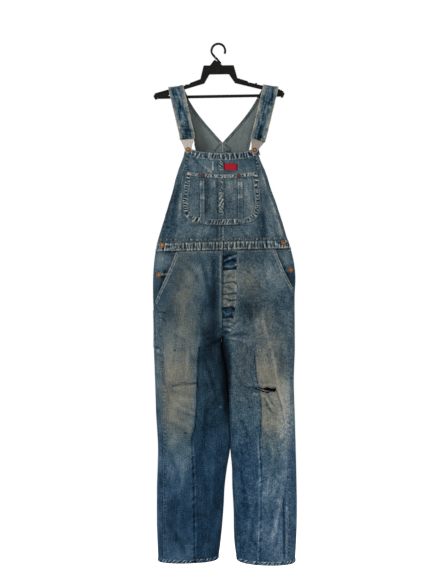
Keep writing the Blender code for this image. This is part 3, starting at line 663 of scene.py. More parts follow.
# %% Creases
# x and y of both ends in pixels, then width, depth and bow in millimetres
FRONT_CREASES = (
    # bib
    (258, 160, 283, 235, 7, -3.0, 6),
    (252, 165, 262, 238, 6, 2.5, -4),
    (262, 212, 264, 238, 5, 2.5, 0),
    (178, 172, 170, 236, 6, 2.0, 4),
    (184, 176, 176, 240, 6, -2.0, 0),
    (190, 236, 204, 246, 5, 2.0, 0),
    (240, 228, 252, 246, 5, 2.0, 0),
    (222, 226, 214, 246, 6, -1.5, 0),
    (228, 160, 246, 172, 5, 1.5, 2),
    (196, 160, 212, 170, 5, 1.5, 2),
    (170, 222, 186, 232, 5, 1.8, 0),
    (268, 222, 280, 240, 5, 2.2, 2),
    # waist and hips
    (176, 247, 165, 250, 4, -2.0, 0),
    (176, 258, 200, 282, 7, 2.0, 6),
    (200, 256, 210, 300, 7, 2.2, 4),
    (213, 256, 214, 340, 8, 3.0, 3),
    (221, 256, 221, 330, 4, -1.6, 0),
    (206, 300, 196, 345, 7, 1.8, -6),
    (240, 262, 262, 290, 7, 1.8, 5),
    (262, 268, 270, 300, 6, 1.8, 5),
    (246, 300, 256, 348, 7, 2.4, 5),
    (262, 310, 270, 345, 6, -2.6, -4),
    (270, 345, 277, 385, 6, -2.6, 3),
    (277, 385, 284, 418, 5, -2.0, 4),
    (226, 333, 248, 333, 5, 2.2, -3),
    (227, 337, 252, 345, 5, -2.0, 3),
    (228, 329, 244, 318, 5, 1.8, 3),
    (226, 330, 214, 322, 5, 2.2, -3),
    (226, 334, 208, 346, 6, 2.4, 4),
    (226, 332, 202, 338, 5, -1.6, 0),
    (270, 300, 290, 310, 6, 1.6, 0),
    (276, 318, 292, 340, 7, 2.0, 4),
    (281, 345, 284, 375, 8, 3.0, -4),
    # thighs and knees
    (166, 330, 190, 345, 6, 1.6, 4),
    (178, 300, 172, 372, 7, 1.8, 5),
    (188, 345, 186, 380, 6, -1.8, 3),
    (172, 386, 196, 383, 4, 1.8, -3),
    (168, 392, 196, 398, 6, 1.6, 4),
    (176, 404, 198, 414, 6, -1.8, -4),
    (164, 420, 190, 436, 7, 1.8, 4),
    (206, 360, 216, 400, 7, 2.2, 3),
    (208, 400, 204, 452, 7, 2.4, -4),
    (218, 380, 226, 420, 6, -1.6, 0),
    (234, 372, 252, 392, 6, 1.8, -4),
    (236, 398, 252, 404, 6, -1.8, 3),
    (262, 398, 274, 412, 4, 1.6, 3),
    (266, 408, 282, 424, 5, 1.4, 2),
    (240, 420, 256, 450, 6, 1.6, 5),
    (264, 420, 274, 460, 6, -1.8, 3),
    # lower legs
    (288, 455, 272, 540, 8, -3.0, 6),
    (280, 440, 268, 500, 8, 2.2, 4),
    (268, 470, 250, 545, 8, 2.0, -6),
    (240, 460, 246, 520, 7, 1.8, 4),
    (284, 500, 284, 556, 5, 2.0, 0),
    (170, 450, 184, 505, 8, 2.0, 5),
    (184, 462, 178, 540, 8, -1.8, -4),
    (200, 452, 208, 520, 8, 2.2, 5),
    (214, 440, 206, 548, 7, -1.8, 4),
    (166, 520, 186, 554, 7, 1.8, 4),
    (246, 530, 262, 556, 7, 1.8, 3),
)
# the same from behind, with the garment's own x in pixels
BACK_CREASES = (
    (200, 160, 184, 235, 8, 2.6, 5),
    (244, 165, 262, 238, 8, 2.4, -5),
    (210, 210, 214, 246, 6, -2.0, 0),
    (232, 215, 228, 246, 6, 2.0, 2),
    (180, 262, 206, 318, 9, 2.6, 8),
    (270, 258, 240, 322, 9, 2.6, -8),
    (170, 300, 214, 340, 8, 2.4, 6),
    (286, 306, 234, 344, 8, 2.6, -6),
    (172, 352, 212, 366, 8, -2.4, 5),
    (284, 350, 240, 372, 8, -2.2, -5),
    (166, 384, 208, 396, 7, 2.8, 5),
    (168, 400, 204, 408, 7, 2.6, -4),
    (286, 388, 240, 398, 7, 2.8, -4),
    (282, 404, 246, 414, 7, 2.4, 5),
    (176, 430, 186, 510, 9, 2.2, 6),
    (206, 440, 196, 540, 9, -2.4, -5),
    (250, 436, 262, 520, 9, 2.2, 6),
    (278, 450, 268, 548, 9, -2.2, -6),
)


print("creases:", len(FRONT_CREASES), "in front and", len(BACK_CREASES), "behind")

# %% Relief
def crease_relief(rows, x, drop):
    """The height of the cloth over its plain form, in millimetres."""
    total = np.zeros(np.shape(x))
    for x0, y0, x1, y1, width, depth, bow in rows:
        (x0, d0), (x1, d1) = seen(x0, y0), seen(x1, y1)
        length = math.hypot(x1 - x0, d1 - d0)
        along_x, along_d = (x1 - x0) / length, (d1 - d0) / length
        t = np.clip(((x - x0) * along_x + (drop - d0) * along_d) / length, 0, 1)
        off_x, off_d = x - x0 - along_x * length * t, drop - d0 - along_d * length * t
        aside = off_x * along_d - off_d * along_x - bow * 4 * t * (1 - t)
        past = off_x * along_x + off_d * along_d
        near = np.exp(-((aside / width) ** 2) - (past / width) ** 2)
        wide = np.exp(-((aside / width / 2.4) ** 2) - (past / width) ** 2)
        total -= depth * (1.25 * near - 0.4 * wide) * np.sin(math.pi * (0.06 + 0.88 * t)) ** 0.7
    return total


def crumple(x, drop, seed):
    """Small irregular dents, ridged like cloth that has dried in a heap."""
    wide = bumps(x + 0.35 * drop, drop * 0.45, 34.0, seed)
    middle = 0.5 - abs(bumps(x - 0.2 * drop, drop * 0.6, 17.0, seed + 1))
    fine = 0.5 - abs(bumps(x + 0.5 * drop, drop, 8.5, seed + 2))
    return wide * 1.3 + middle * 0.9 + fine * 0.42


def relief(face, x, drop, seed=3):
    rows = FRONT_CREASES if face == "front" else BACK_CREASES
    return crease_relief(rows, x, drop) + crumple(x, drop, seed if face == "front" else seed + 20)


print("relief at the left knee:", round(float(relief("front", *seen(270, 390))), 1), "mm")

# %% [markdown]
# ## Where the cloth has worn, and where shade is painted
# Denim fades where it was rubbed and where the sun reached it. The thighs of this pair are greyish tan
# with dirt, the pale areas stop short at the long seams, and the insides of the legs are darker.
# Each row is one soft blot: its middle and its half width and half height in the photograph's pixels, and
# how much it adds. The long seams cut some of the blots off sharply, as they do in the picture.
# A few dark blots are painted shade: down the gap between the legs, in a fold's trough on the left thigh, and
# over the folds of the right shin.


# %% Wear and painted shade
FRONT_FADE_AND_SHADE = (
    (196, 200, 10, 26, 0.03),
    (248, 200, 10, 26, 0.1),
    (212, 198, 6, 20, -0.06),
    (240, 165, 20, 8, 0.05),
    (205, 164, 14, 8, 0.04),
    (222, 246, 60, 6, 0.02),
    (168, 228, 7, 40, -0.12),
    (174, 196, 6, 30, -0.1),
    (263, 226, 5, 24, -0.14),
    (270, 205, 5, 30, 0.05),
    (184, 284, 12, 24, 0.05),
    (172, 306, 10, 12, -0.12),
    (190, 258, 14, 7, -0.06),
    (250, 310, 12, 12, -0.16),
    (252, 258, 14, 7, -0.06),
    (268, 280, 4, 30, 0.1),
    (250, 282, 8, 16, 0.06),
    (212, 292, 9, 42, -0.22),
    (210, 350, 14, 40, -0.12),
    (256, 290, 18, 36, -0.02),
    # painted shade in the trough of a fold on the left thigh
    (284, 360, 7, 15, -0.16),
    # painted shade in the gap between the legs, below the crotch
    (225, 366, 5, 28, -0.24),
    (243, 355, 10, 34, -0.03),
    (262, 325, 10, 30, 0.08),
    (286, 405, 8, 45, 0.36),
    # painted shade, deepening to black down the gap between the legs
    (226.5, 388, 3.4, 30, -0.45),
    (288, 320, 6, 18, 0.1),
    (245, 480, 14, 80, -0.08),
    # painted shade over the shallow folds of the right shin
    (178, 505, 18, 55, -0.1),
    (274, 500, 14, 60, 0.15),
    (214, 470, 8, 90, -0.04),
    (271, 225, 7, 16, 0.17),
    (203, 233, 18, 5, 0.05),
    (270, 412, 11, 15, 0.13),
    (180, 405, 16, 16, 0.06),
    (183, 325, 14, 14, 0.06),
    (186, 280, 18, 20, -0.05),
    (257, 281, 14, 20, -0.05),
    (161, 262, 8, 11, 0.24),
    (287, 261, 7, 14, 0.24),
)
FRONT_DIRT = (
    (222, 205, 50, 50, 0.18),
    (228, 290, 10, 30, 0.25),
    (222, 247, 64, 8, 0.3),
    (184, 284, 13, 26, 0.55),
    (250, 282, 11, 20, 0.5),
    (186, 322, 20, 16, 0.3),
    (262, 318, 14, 18, 0.26),
    (244, 360, 10, 40, 0.3),
)
BACK_FADE = (
    (200, 350, 26, 60, 0.12),
    (244, 350, 26, 60, 0.12),
    (222, 300, 8, 60, -0.12),
    (196, 470, 18, 90, 0.06),
    (256, 470, 18, 90, 0.06),
)
BACK_DIRT = (
    (198, 330, 24, 40, 0.5),
    (246, 330, 24, 40, 0.5),
    (200, 560, 30, 14, 0.4),
    (256, 560, 30, 14, 0.4),
)
# the long lines that cut off the blots on the two legs: y and x in pixels
LEG_LINE = {
    "right": (
        *((320, 201), (348, 199), (361, 198), (393, 197), (412, 196), (429, 194.5)),
        *((440, 191.5), (450, 192), (481, 193.5), (520, 194), (562, 194.3)),
    ),
    "left": (
        *((320, 253), (350, 254.7), (377, 256.7), (396, 260.3), (426, 260.8)),
        *((442, 259.8), (460, 260.8), (511, 260.8), (562, 259.8)),
    ),
}
print("places faded:", len(FRONT_FADE_AND_SHADE) + len(BACK_FADE), "dirty:", len(FRONT_DIRT) + len(BACK_DIRT))

# %% [markdown]
# ## Single marks
# Between the soft blots lie dozens of small things that the eye takes for a worn pair: a pale tack, a dark
# pucker beside it, a drag line at the crotch, the crease that crosses a knee. Each row is one stroke, with
# both ends in pixels, its half width, and how much paler or darker it makes the cloth. The strokes waver,
# so no two look ruled. A piece that is sewn on has its own table.
# Some dark strokes are painted shade: in the mouths of the slash pockets, beside the fly, down the gap
# between the legs, round the tear and along the folds of the lower legs; the chest pocket's table paints
# shade in a pen slot.


# %% Strokes on the panels
# x and y of both ends, half width, paler or darker
PANEL_MARKS = (
    # bib
    (212.6, 161.8, 212.8, 169.5, 0.9, 0.5),
    (211.2, 163, 211.2, 168, 0.7, -0.25),
    (214.4, 162, 214.4, 170, 0.7, -0.22),
    (197, 158, 211, 172, 1.3, 0.16),
    (194, 159, 208, 173, 1.3, -0.14),
    (217.4, 161, 217.4, 171, 0.7, -0.26),
    (224, 160, 224, 171, 0.7, -0.22),
    (217.3, 226, 217.3, 241, 0.8, -0.28),
    (220.6, 226, 220.6, 241, 1.0, -0.24),
    (224, 226, 224, 241, 0.7, -0.16),
    (222.4, 226, 222.4, 240, 0.7, 0.22),
    (258.5, 161, 283, 236, 2.2, 0.2),
    (263, 208, 265, 236, 1.8, -0.16),
    (186, 170, 163, 238, 2.4, -0.1),
    (183, 176, 180, 232, 2.0, 0.08),
    (188.9, 157, 187.8, 170, 0.8, -0.18),
    (255.2, 157, 256.2, 171, 0.8, -0.18),
    (199, 176, 245, 176, 1.6, -0.1),
    (184.4, 213, 189, 220.4, 1.0, -0.16),
    (190, 225.4, 252, 225.4, 0.9, -0.14),
    (228, 171.6, 238, 171.6, 0.8, -0.2),
    (170, 238, 284, 236, 1.0, -0.06),
    # hips, centre front and crotch
    (161.6, 274.6, 167, 274, 0.9, 0.6),
    (161.6, 276.8, 166, 276.4, 0.7, -0.3),
    (283.6, 271.6, 287.6, 270.6, 0.8, 0.5),
    (166, 262, 170, 262, 1.4, 0.14),
    # the next two strokes are painted shadow in the gaping mouths of the slash pockets
    (165, 272, 160.5, 290, 1.8, -0.4),
    (284.4, 268, 290.4, 287, 1.8, -0.4),
    (278, 254, 292, 262, 2.0, 0.1),
    (160, 256, 172, 258, 2.0, 0.08),
    (158, 252, 178, 252, 0.8, 0.2),
    (178, 252.4, 222, 252.2, 0.8, 0.1),
    (236, 252, 274, 251.2, 0.8, 0.1),
    (274, 250.8, 290, 250, 0.8, 0.2),
    (220.4, 256, 220.6, 328, 1.0, 0.2),
    # the next stroke is painted shadow beside the fly's edge
    (222.4, 256, 222.6, 328, 0.8, -0.34),
    (217.8, 258, 218.4, 322, 0.7, -0.1),
    (237, 256, 236.8, 306, 0.6, 0.2),
    (238.6, 256, 238.4, 307, 0.6, 0.14),
    (236.8, 306, 232.5, 324, 0.7, 0.2),
    (226, 335, 252, 326, 1.0, 0.16),
    (228, 338, 252, 341, 1.0, 0.16),
    (228, 335.5, 250, 334, 1.0, -0.14),
    (230, 330, 244, 318, 0.9, 0.12),
    (226, 332, 214, 325, 1.0, -0.16),
    (225, 334, 208, 341, 1.0, 0.1),
    (224, 328.4, 229.4, 329.8, 1.2, 0.3),
    (224, 326.6, 229.4, 327.6, 0.7, -0.35),
    (222, 333, 228.6, 331, 0.7, -0.35),
    # the next three strokes are painted shade down the gap between the legs
    (222.6, 336, 222.4, 344, 0.9, -0.3),
    (222.4, 340, 228.4, 400, 1.5, -0.42),
    (229.6, 352, 230.2, 386, 1.0, -0.22),
    (214.5, 256, 214.5, 300, 1.6, -0.08),
    (210, 258, 206, 330, 1.0, 0.06),
    # pocket tacks and side pieces
    (158.6, 312, 166, 313, 0.8, -0.3),
    (161.5, 318, 166, 322, 0.7, -0.28),
    (156.4, 312, 156.4, 345, 0.8, 0.12),
    (157.5, 347.5, 163, 347.5, 1.0, -0.3),
    (157.5, 350.5, 163.4, 352.5, 1.0, 0.3),
    (157.5, 354.5, 162.5, 355, 0.8, -0.2),
    # thighs and knees
    (172.6, 386.2, 178, 384.6, 0.7, -0.32),
    (178.8, 383.8, 184.3, 382.6, 0.7, -0.38),
    (185, 382.7, 190, 383.4, 0.7, -0.26),
    (191, 383.6, 195.8, 383, 0.8, -0.34),
    (174, 388, 194, 385.4, 0.9, 0.1),
    (168, 396, 192, 402, 1.0, 0.08),
    (170, 408, 196, 417, 1.2, -0.07),
    (176, 420, 192, 428, 1.0, 0.08),
    (188, 340, 186, 378, 1.3, 0.07),
    (206, 356, 214, 380, 1.2, 0.1),
    (202, 372, 212, 398, 1.0, -0.08),
    (201, 401, 218, 386, 1.2, 0.1),
    (204, 414, 222, 392, 1.2, -0.1),
    (208, 420, 224, 404, 1.0, 0.08),
    (201.5, 430, 222, 424, 1.0, -0.08),
    (234, 366, 252, 388, 1.2, 0.1),
    (236, 384, 250, 402, 1.1, -0.08),
    (256, 351, 257.5, 372, 0.9, 0.1),
    (272, 348, 279, 388, 1.2, 0.12),
    (276.4, 391, 280.6, 402, 0.8, -0.42),
    (280.6, 402, 283.6, 418, 0.8, -0.36),
    (283.6, 418, 284.6, 440, 0.7, -0.16),
    (278.4, 391, 283, 404, 0.9, 0.2),
    # the next four dark strokes are painted shade, from the hole and the folds at the tear's lower right
    (264, 398, 270, 409, 0.7, -0.42),
    (268, 396, 273, 404, 0.7, -0.36),
    (265.4, 405, 272, 412, 0.7, -0.34),
    (270, 410, 277, 414, 0.7, -0.22),
    (262, 395, 268, 397, 1.0, 0.34),
    (267, 399, 271, 407, 0.8, 0.3),
    (271, 396, 276, 399, 0.9, 0.3),
    (254, 393.6, 262, 394, 0.8, 0.2),
    # the next two strokes are painted shade, carrying the hole's dark past its left end
    (248.4, 387, 253.6, 387.4, 0.8, -0.36),
    (251, 390, 255, 391, 0.8, -0.2),
    (256, 384.4, 275, 384.6, 0.8, 0.16),
    (246, 424, 256, 452, 1.0, 0.08),
    (262, 430, 270, 462, 1.2, -0.07),
    (220, 406.8, 221.4, 407.2, 0.8, 0.4),
    # lower legs; the darker strokes along the folds are painted shade
    (286.6, 452, 272, 540, 2.0, 0.13),
    (290, 458, 276, 544, 1.6, -0.12),
    (283.6, 500, 284.4, 558, 0.8, -0.3),
    (286.6, 470, 287, 556, 1.2, 0.16),
    (160, 462, 159.6, 556, 1.8, -0.07),
    (166.6, 430, 166.4, 556, 0.7, 0.1),
    (162.6, 430, 162.8, 556, 0.7, -0.14),
    (158, 440, 158, 556, 0.7, 0.06),
    (174, 452, 184, 500, 1.4, 0.07),
    (181, 470, 176, 540, 1.5, -0.07),
    (204, 452, 209, 516, 1.5, 0.07),
    (214, 446, 208, 544, 1.4, -0.07),
    (240, 462, 246, 522, 1.5, -0.07),
    (252, 470, 248, 540, 1.5, 0.07),
    (266, 462, 255, 500, 1.2, 0.06),
    (270, 500, 276, 550, 1.4, -0.08),
)
print("strokes on the panels:", len(PANEL_MARKS))

# %% Strokes on the seams, and spots
LOW_SEAM_MARKS = (
    (218.2, 226, 218.2, 241, 0.7, -0.3),
    (221.0, 226, 221.0, 241, 0.9, -0.34),
    (223.2, 226, 223.2, 241, 0.8, 0.16),
)
WAIST_MARKS = (
    (275.5, 244, 280, 245.6, 1.1, 0.5),
    (276, 241.4, 280, 242.6, 0.7, -0.3),
    (165.6, 244, 170, 244.6, 0.8, 0.36),
    (165.6, 246.6, 169, 247, 0.7, -0.3),
    (176, 247, 166, 249.6, 0.7, 0.4),
    (218.0, 241, 218.2, 249, 0.8, -0.34),
    (221.4, 241, 221.4, 249, 0.8, 0.3),
    (224.2, 241, 224.2, 249, 0.8, -0.28),
    (280, 248, 292, 246, 0.8, 0.2),
)
# small dark spots: x, y, half width and half height in pixels
SPOTS = (
    (174.6, 350.2, 0.9, 1.1),
    (185.5, 433, 1.1, 0.9),
    (247, 434.6, 1.0, 1.0),
    (257.2, 427.4, 0.9, 0.9),
    (249.6, 407.3, 1.6, 0.7),
    (199.4, 347.8, 0.9, 1.2),
    (257.5, 402.5, 0.8, 0.8),
    (185.5, 457.2, 1.0, 0.6),
    (188.6, 456, 1.2, 0.6),
    (294.8, 334, 0.9, 1.6),
    (229.5, 412.5, 0.8, 0.7),
)


print("strokes on the waistband:", len(WAIST_MARKS), "spots:", len(SPOTS))

# %% Wear at a place
def marks(rows, px, py):
    """How much paler or darker a table of single marks makes each place."""
    total = np.zeros(np.shape(px))
    for x0, y0, x1, y1, half, amount in rows:
        span = math.hypot(x1 - x0, y1 - y0)
        along_x, along_y = (x1 - x0) / span, (y1 - y0) / span
        t = np.clip((px - x0) * along_x + (py - y0) * along_y, 0, span)
        off = np.hypot(px - x0 - along_x * t, py - y0 - along_y * t)
        if off.size and off.min() < 3 * half:
            waver = 0.75 + 0.45 * bumps(t, x0 + y0, 2.6, 45)
            total += amount * waver * np.exp(-((off / half) ** 2))
    return total


def blots(rows, px, py):
    """The same for a table of soft blots."""
    total = np.zeros(np.shape(px))
    for x, y, half_width, half_height, amount in rows:
        total += amount * np.exp(-(((px - x) / half_width) ** 2) - ((py - y) / half_height) ** 2)
    return total


# the thighs' dirt in pixels: its middle, its half width and height, and where the long lines start
THIGH_X = {"right": 178, "left": 268}
THIGH_HALF = (17, 62)
KNEE_PX_Y, SHIN_PX_Y = 392, 395
LINE_TOP = {"right": 346, "left": 352}


def wear_and_shade(face, x, drop, single=()):
    """How faded, with painted shade in places, how dirty and how spotted the cloth is there, with a table of
    single marks.
    """
    px = x / PIXEL * MM + CROWN_PX_X
    py = drop / PIXEL * MM + CROWN_PX_Y
    uneven = bumps(px, py, 9.0, 41) * 0.6 + bumps(px, py, 3.5, 42) * 0.4
    if face == "back":
        fade = 0.44 + blots(BACK_FADE, px, py) + 0.05 * uneven
        return fade, blots(BACK_DIRT, px, py) * (1 + 0.4 * uneven), 0 * fade
    fade = 0.48 - 0.02 * smooth((py - 380) / 60) + blots(FRONT_FADE_AND_SHADE, px, py) + 0.07 * uneven
    shin = smooth((py - SHIN_PX_Y) / 80)
    dirt = 0.04 - 0.75 * shin + blots(FRONT_DIRT, px, py)
    for side, thigh_x in THIGH_X.items():
        edge = through(LEG_LINE[side])(py)
        outside = smooth((px - edge) * SIDES[side] / 1.2 + 0.5)
        half_x, half_y = THIGH_HALF
        thigh = np.exp(-(((px - thigh_x) / half_x) ** 4) - ((py - KNEE_PX_Y) / half_y) ** 2)
        fade = fade + 0.17 * thigh * outside
        dirt = dirt + (0.80 + 0.5 * shin) * thigh * outside
        below = smooth((py - 300) / 40)
        if side == "right":  # the inner half of this leg is darker
            inner = (px < 229) * smooth((225 - px) / 14 + 0.6)
            fade = fade - 0.15 * below * (1 - outside) * inner
        if single is PANEL_MARKS:  # the seam itself, and its puckers on the lower half
            aside = (px - edge) * SIDES[side]
            low = smooth((py - 425) / 25)
            from_top = smooth((py - LINE_TOP[side]) / 3)
            wavy = bumps(py + 0.6 * px, 0 * py, 1.5, 46)
            fade = fade - 0.34 * from_top * np.exp(-((aside / 0.75) ** 2)) * (1 - 0.35 * low)
            fade = fade + 0.22 * low * np.exp(-(((aside + 1.5) / 0.8) ** 2))
            fade = fade + 0.16 * low * wavy * np.exp(-((aside / 2.2) ** 2))
    spotted = sum(np.exp(-(((px - x) / w) ** 2) - ((py - y) / h) ** 2) for x, y, w, h in SPOTS)
    return fade + marks(single, px, py), dirt * (1 + 0.35 * uneven), np.clip(spotted * 1.3, 0, 1)


print("fade, dirt, spots on the left thigh:", [round(float(v), 2) for v in wear_and_shade("front", *seen(266, 400))])

# %% [markdown]
# ## A panel of cloth
# `Face` joins a surface with its relief. It can give a point of the cloth at any height above it, so a seam
# or a patch that is placed on it follows every crease below.


# %% A surface with its relief
def unit(vectors):
    return vectors / np.maximum(np.linalg.norm(vectors, axis=-1, keepdims=True), 1e-9)


class Face:
    """A surface: form(u, v) in millimetres, which way it faces, and how far u and v go."""

    def __init__(self, form, face, share_of, u_range, v_range, calm=None, rough=1.0, seed=3):
        self.form, self.face, self.share_of = form, face, share_of
        self.u_range, self.v_range = u_range, v_range
        self.calm, self.rough, self.seed = calm, rough, seed
        middle = self.slopes(np.array(sum(u_range) / 2), np.array(sum(v_range) / 2))
        self.sign = np.sign(np.cross(*middle)[1]) * FACING[face]

    def slopes(self, u, v):
        (u0, u1), (v0, v1) = self.u_range, self.v_range
        step_u, step_v = (u1 - u0) * 0.004, (v1 - v0) * 0.002
        u, v = np.clip(u, u0, u1), np.clip(v, v0, v1)
        ahead, behind = np.minimum(u + step_u, u1), np.maximum(u - step_u, u0)
        along_u = (self.form(ahead, v) - self.form(behind, v)) / (ahead - behind)[..., None]
        below, above = np.minimum(v + step_v, v1), np.maximum(v - step_v, v0)
        along_v = (self.form(u, below) - self.form(u, above)) / (below - above)[..., None]
        return along_u, along_v

    def normal(self, u, v):
        return unit(np.cross(*self.slopes(u, v))) * self.sign

    def lift(self, u, v):
        """How far creases and crumples raise the cloth there."""
        base = self.form(u, v)
        height = relief(self.face, base[..., 0], -base[..., 2], self.seed) * self.rough
        return height if self.calm is None else height * self.calm(u, v)

    def at(self, u, v, out=0.0):
        """The cloth's outer side, or a point above it."""
        u, v = np.broadcast_arrays(np.asarray(u, float), np.asarray(v, float))
        u = np.clip(u, *self.u_range)
        v = np.clip(v, *self.v_range)
        return self.form(u, v) + self.normal(u, v) * (self.lift(u, v) + out)[..., None]

    def find(self, x, drop):
        """The u and v of the cloth that is seen at this place."""
        x, drop = np.asarray(x, float), np.asarray(drop, float)
        v = drop + 0.0
        for _ in range(5):
            v = v + drop + self.form(self.share_of(x, v), v)[..., 2]
        return self.share_of(x, v), v


print("a face has:", [name for name in vars(Face) if not name.startswith("__")])

# %% [markdown]
# ## Meshes from grids
# `add_cloth` turns a grid of points into a mesh with a thin wall, whose other side is the inside cloth. It
# stores the wear and the painted shade at each point, and how far along the cut cloth the point lies, which
# the weave follows. A simulation could drape the panels too, but a worn pair keeps the creases of years, so
# they are placed instead. `lay_cloth` does all this for a panel and states the size of its cut.


# %% Meshes, pieces and lengths
PIECES = []


def new_mesh(name, points, faces, *materials):
    """A smooth mesh from points in millimetres."""
    mesh = bpy.data.meshes.new(name)
    mesh.from_pydata((np.asarray(points) * MM).tolist(), [], faces)
    mesh.shade_smooth()
    for material in materials:
        mesh.materials.append(material)
    return mesh


def finish_piece(piece, replaced, slot="denim"):
    """Makes a piece part of the object, in place of these solids."""
    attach(piece, "root")
    if replaced:
        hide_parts(*replaced)
    PIECES.append(piece)
    return piece


def lengths(spots, axis):
    """How far along its row or column each point of a grid lies."""
    steps = np.linalg.norm(np.diff(spots, axis=axis), axis=-1)
    first = np.zeros_like(np.take(steps, [0], axis))
    return np.concatenate([first, np.cumsum(steps, axis)], axis)


def travelled(spots):
    """The same for a single line of points."""
    return np.append(0.0, np.cumsum(np.linalg.norm(np.diff(spots, axis=0), axis=1)))


print("along a bent line:", travelled(np.array([[0, 0], [3, 4], [3, 10]])))

# %% Cloth from grids of points
def add_cloth(name, spots, layers, outward, wall, materials=None, holes=None):
    """A sheet of cloth from rows and columns of points, its wall on the side away from outward."""
    rows, columns = spots.shape[:2]
    index = np.arange(rows * columns).reshape(rows, columns)
    quads = np.stack([index[:-1, :-1], index[1:, :-1], index[1:, 1:], index[:-1, 1:]], -1).reshape(-1, 4)
    flat = spots.reshape(-1, 3)
    normals = np.cross(flat[quads[:, 2]] - flat[quads[:, 0]], flat[quads[:, 3]] - flat[quads[:, 1]])
    if normals.sum(0) @ np.array(outward, float) < 0:
        quads = quads[:, ::-1]
    if holes is not None:
        quads = quads[~holes[quads].all(1)]
    mesh = new_mesh(name, flat, quads.tolist(), *(materials or (denim, inside)))
    across = lengths(spots, 1)
    across = across - across[:, columns // 2, None]
    down = np.broadcast_to(lengths(spots, 0)[:, columns // 2, None], across.shape)
    shift = np.full(across.shape, len(PIECES) * 37.0)
    cut = np.stack([across, down + shift, shift], -1).reshape(-1) * MM
    mesh.attributes.new("cut", "FLOAT_VECTOR", "POINT").data.foreach_set("vector", cut.astype(np.float32))
    for key, values in layers.items():
        values = np.broadcast_to(values, across.shape).astype(np.float32)
        mesh.attributes.new(key, "FLOAT", "POINT").data.foreach_set("value", values.reshape(-1))
    piece = linked(name, mesh)
    thicken = piece.modifiers.new("wall", "SOLIDIFY")
    thicken.thickness = wall * MM
    thicken.offset = -1.0
    thicken.material_offset = 1
    return piece


print("cloth is lined with", inside.name)

# %% Wear, painted shade and size of a panel
def wear_and_shade_layers(face, spots, lift=0.0, rub=0.0, fade=0.0, dirt=0.0, single=()):
    """The paleness, painted shade, dirt and rub stored at each point; where lift raises the cloth it is
    rubbed, and its hollows are dark.
    """
    tone, soil, spotted = wear_and_shade(face, spots[..., 0], -spots[..., 2], single)
    ridge = np.clip(lift / 2.4, -1.0, 1.0)
    return {
        "fade": tone + fade + 0.09 * ridge,
        "dirt": soil + dirt,
        "rub": np.clip(rub + 0.30 * np.maximum(ridge, 0), 0, 1),
        "spot": spotted,
    }


SHEETS = []


def cloth_sheet(piece, base):
    """Records a panel's name and the size of its own cut in SHEETS."""
    width, length = lengths(base, 1)[:, -1].max(), lengths(base, 0)[-1].max()
    du = np.diff(base, axis=1)[:-1]
    dv = np.diff(base, axis=0)[:, :-1]
    area = np.linalg.norm(np.cross(du, dv), axis=-1).sum()
    area = min(area, width * length)
    SHEETS.append((piece.name, round(width), round(length), round(area / 100)))


print("what a panel stores:", list(wear_and_shade_layers("front", np.zeros((1, 1, 3)))))

# %% Panels and patches
def inside_outline(outline, x, drop):
    """Which points lie inside a closed outline."""
    result = np.zeros(np.shape(x), bool)
    for (x0, d0), (x1, d1) in zip(outline, outline[1:] + outline[:1]):
        crosses = (d0 > drop) != (d1 > drop)
        at = x0 + (x1 - x0) * (drop - d0) / (d1 - d0 if d1 != d0 else 1e-9)
        result ^= crosses & (x < at)
    return result


def lay_cloth(name, replaced, cloth, u, v, wall, rise=0.0, tear=None, materials=None, slot="denim", **worn):
    """A panel over a grid of u and v, this far above its surface, with an outline torn out of it."""
    spots = cloth.at(u, v, rise)
    layers = wear_and_shade_layers(cloth.face, spots, cloth.lift(u, v) + rise - np.median(rise), **worn)
    holes = inside_outline(tear, spots[..., 0], -spots[..., 2]).reshape(-1) if tear else None
    piece = add_cloth(name, spots, layers, (0, FACING[cloth.face], 0), wall, materials, holes)
    finish_piece(piece, replaced, slot)
    cloth_sheet(piece, cloth.form(u, v))


square = [(0, 0), (2, 0), (2, 2), (0, 2)]
print("inside a square, and not:", inside_outline(square, np.array([1, 3]), np.array([1, 1])))

# %% [markdown]
# ## The legs
# Each leg is a front and a back panel, as cut. A grid every three or four millimetres is fine enough for
# the creases and the crumple. Calm strips along the outseams keep the two panels together there.


# %% Leg panels
def leg_calm(u, v):
    inner = 1 - fork(v) * (1 - smooth((1 - u) / 0.06))
    return smooth((u + 0.004) / 0.06) * inner


def leg_face(side, face):
    def form(u, v):
        return leg_spot(side, face, v, u)

    def share_of(x, v):
        return leg_share(side, x, v)

    return Face(form, face, share_of, (0.0, 1.0), (WAIST_TOP, HEM), leg_calm, seed=3 + SIDES[side])


LEG = {(side, face): leg_face(side, face) for side in SIDES for face in FACING}
FRONT_STEP = 2.8
FRONT_COLUMNS = 84
BACK_STEP = 4.4
BACK_COLUMNS = 58


# the hole at the knee, x and drop in millimetres
RIP = [(112, 1115), (124, 1113), (133, 1111), (144, 1115), (157, 1110), (170, 1113), (182, 1112), (191, 1117)]
RIP += [(188, 1128), (177, 1135), (170, 1130), (160, 1136), (150, 1132), (139, 1131)]
RIP += [(130, 1124), (118, 1121)]


def add_leg(side, face):
    columns, step = (FRONT_COLUMNS, FRONT_STEP) if face == "front" else (BACK_COLUMNS, BACK_STEP)
    top = WAIST_BOTTOM + SEAM if face == "front" else WAIST_TOP + 2 * SEAM
    a, drop = np.meshgrid(np.linspace(0, 1, columns), np.linspace(top, HEM, round((HEM - top) / step)))
    start = slash_share(side, drop) if face == "front" else 0.0
    share = start + (1 - start) * a
    tear = RIP if (side, face) == ("left", "front") else None
    name, replaced = f"{side}_leg_{face}", [f"{face}_leg_{side}"]
    lay_cloth(name, replaced, LEG[side, face], share, drop, WALL * 0.7, tear=tear, single=PANEL_MARKS)


for leg_side in SIDES:
    for leg_facing in FACING:
        add_leg(leg_side, leg_facing)
print("legs:", [(p.name, len(p.data.polygons)) for p in PIECES])

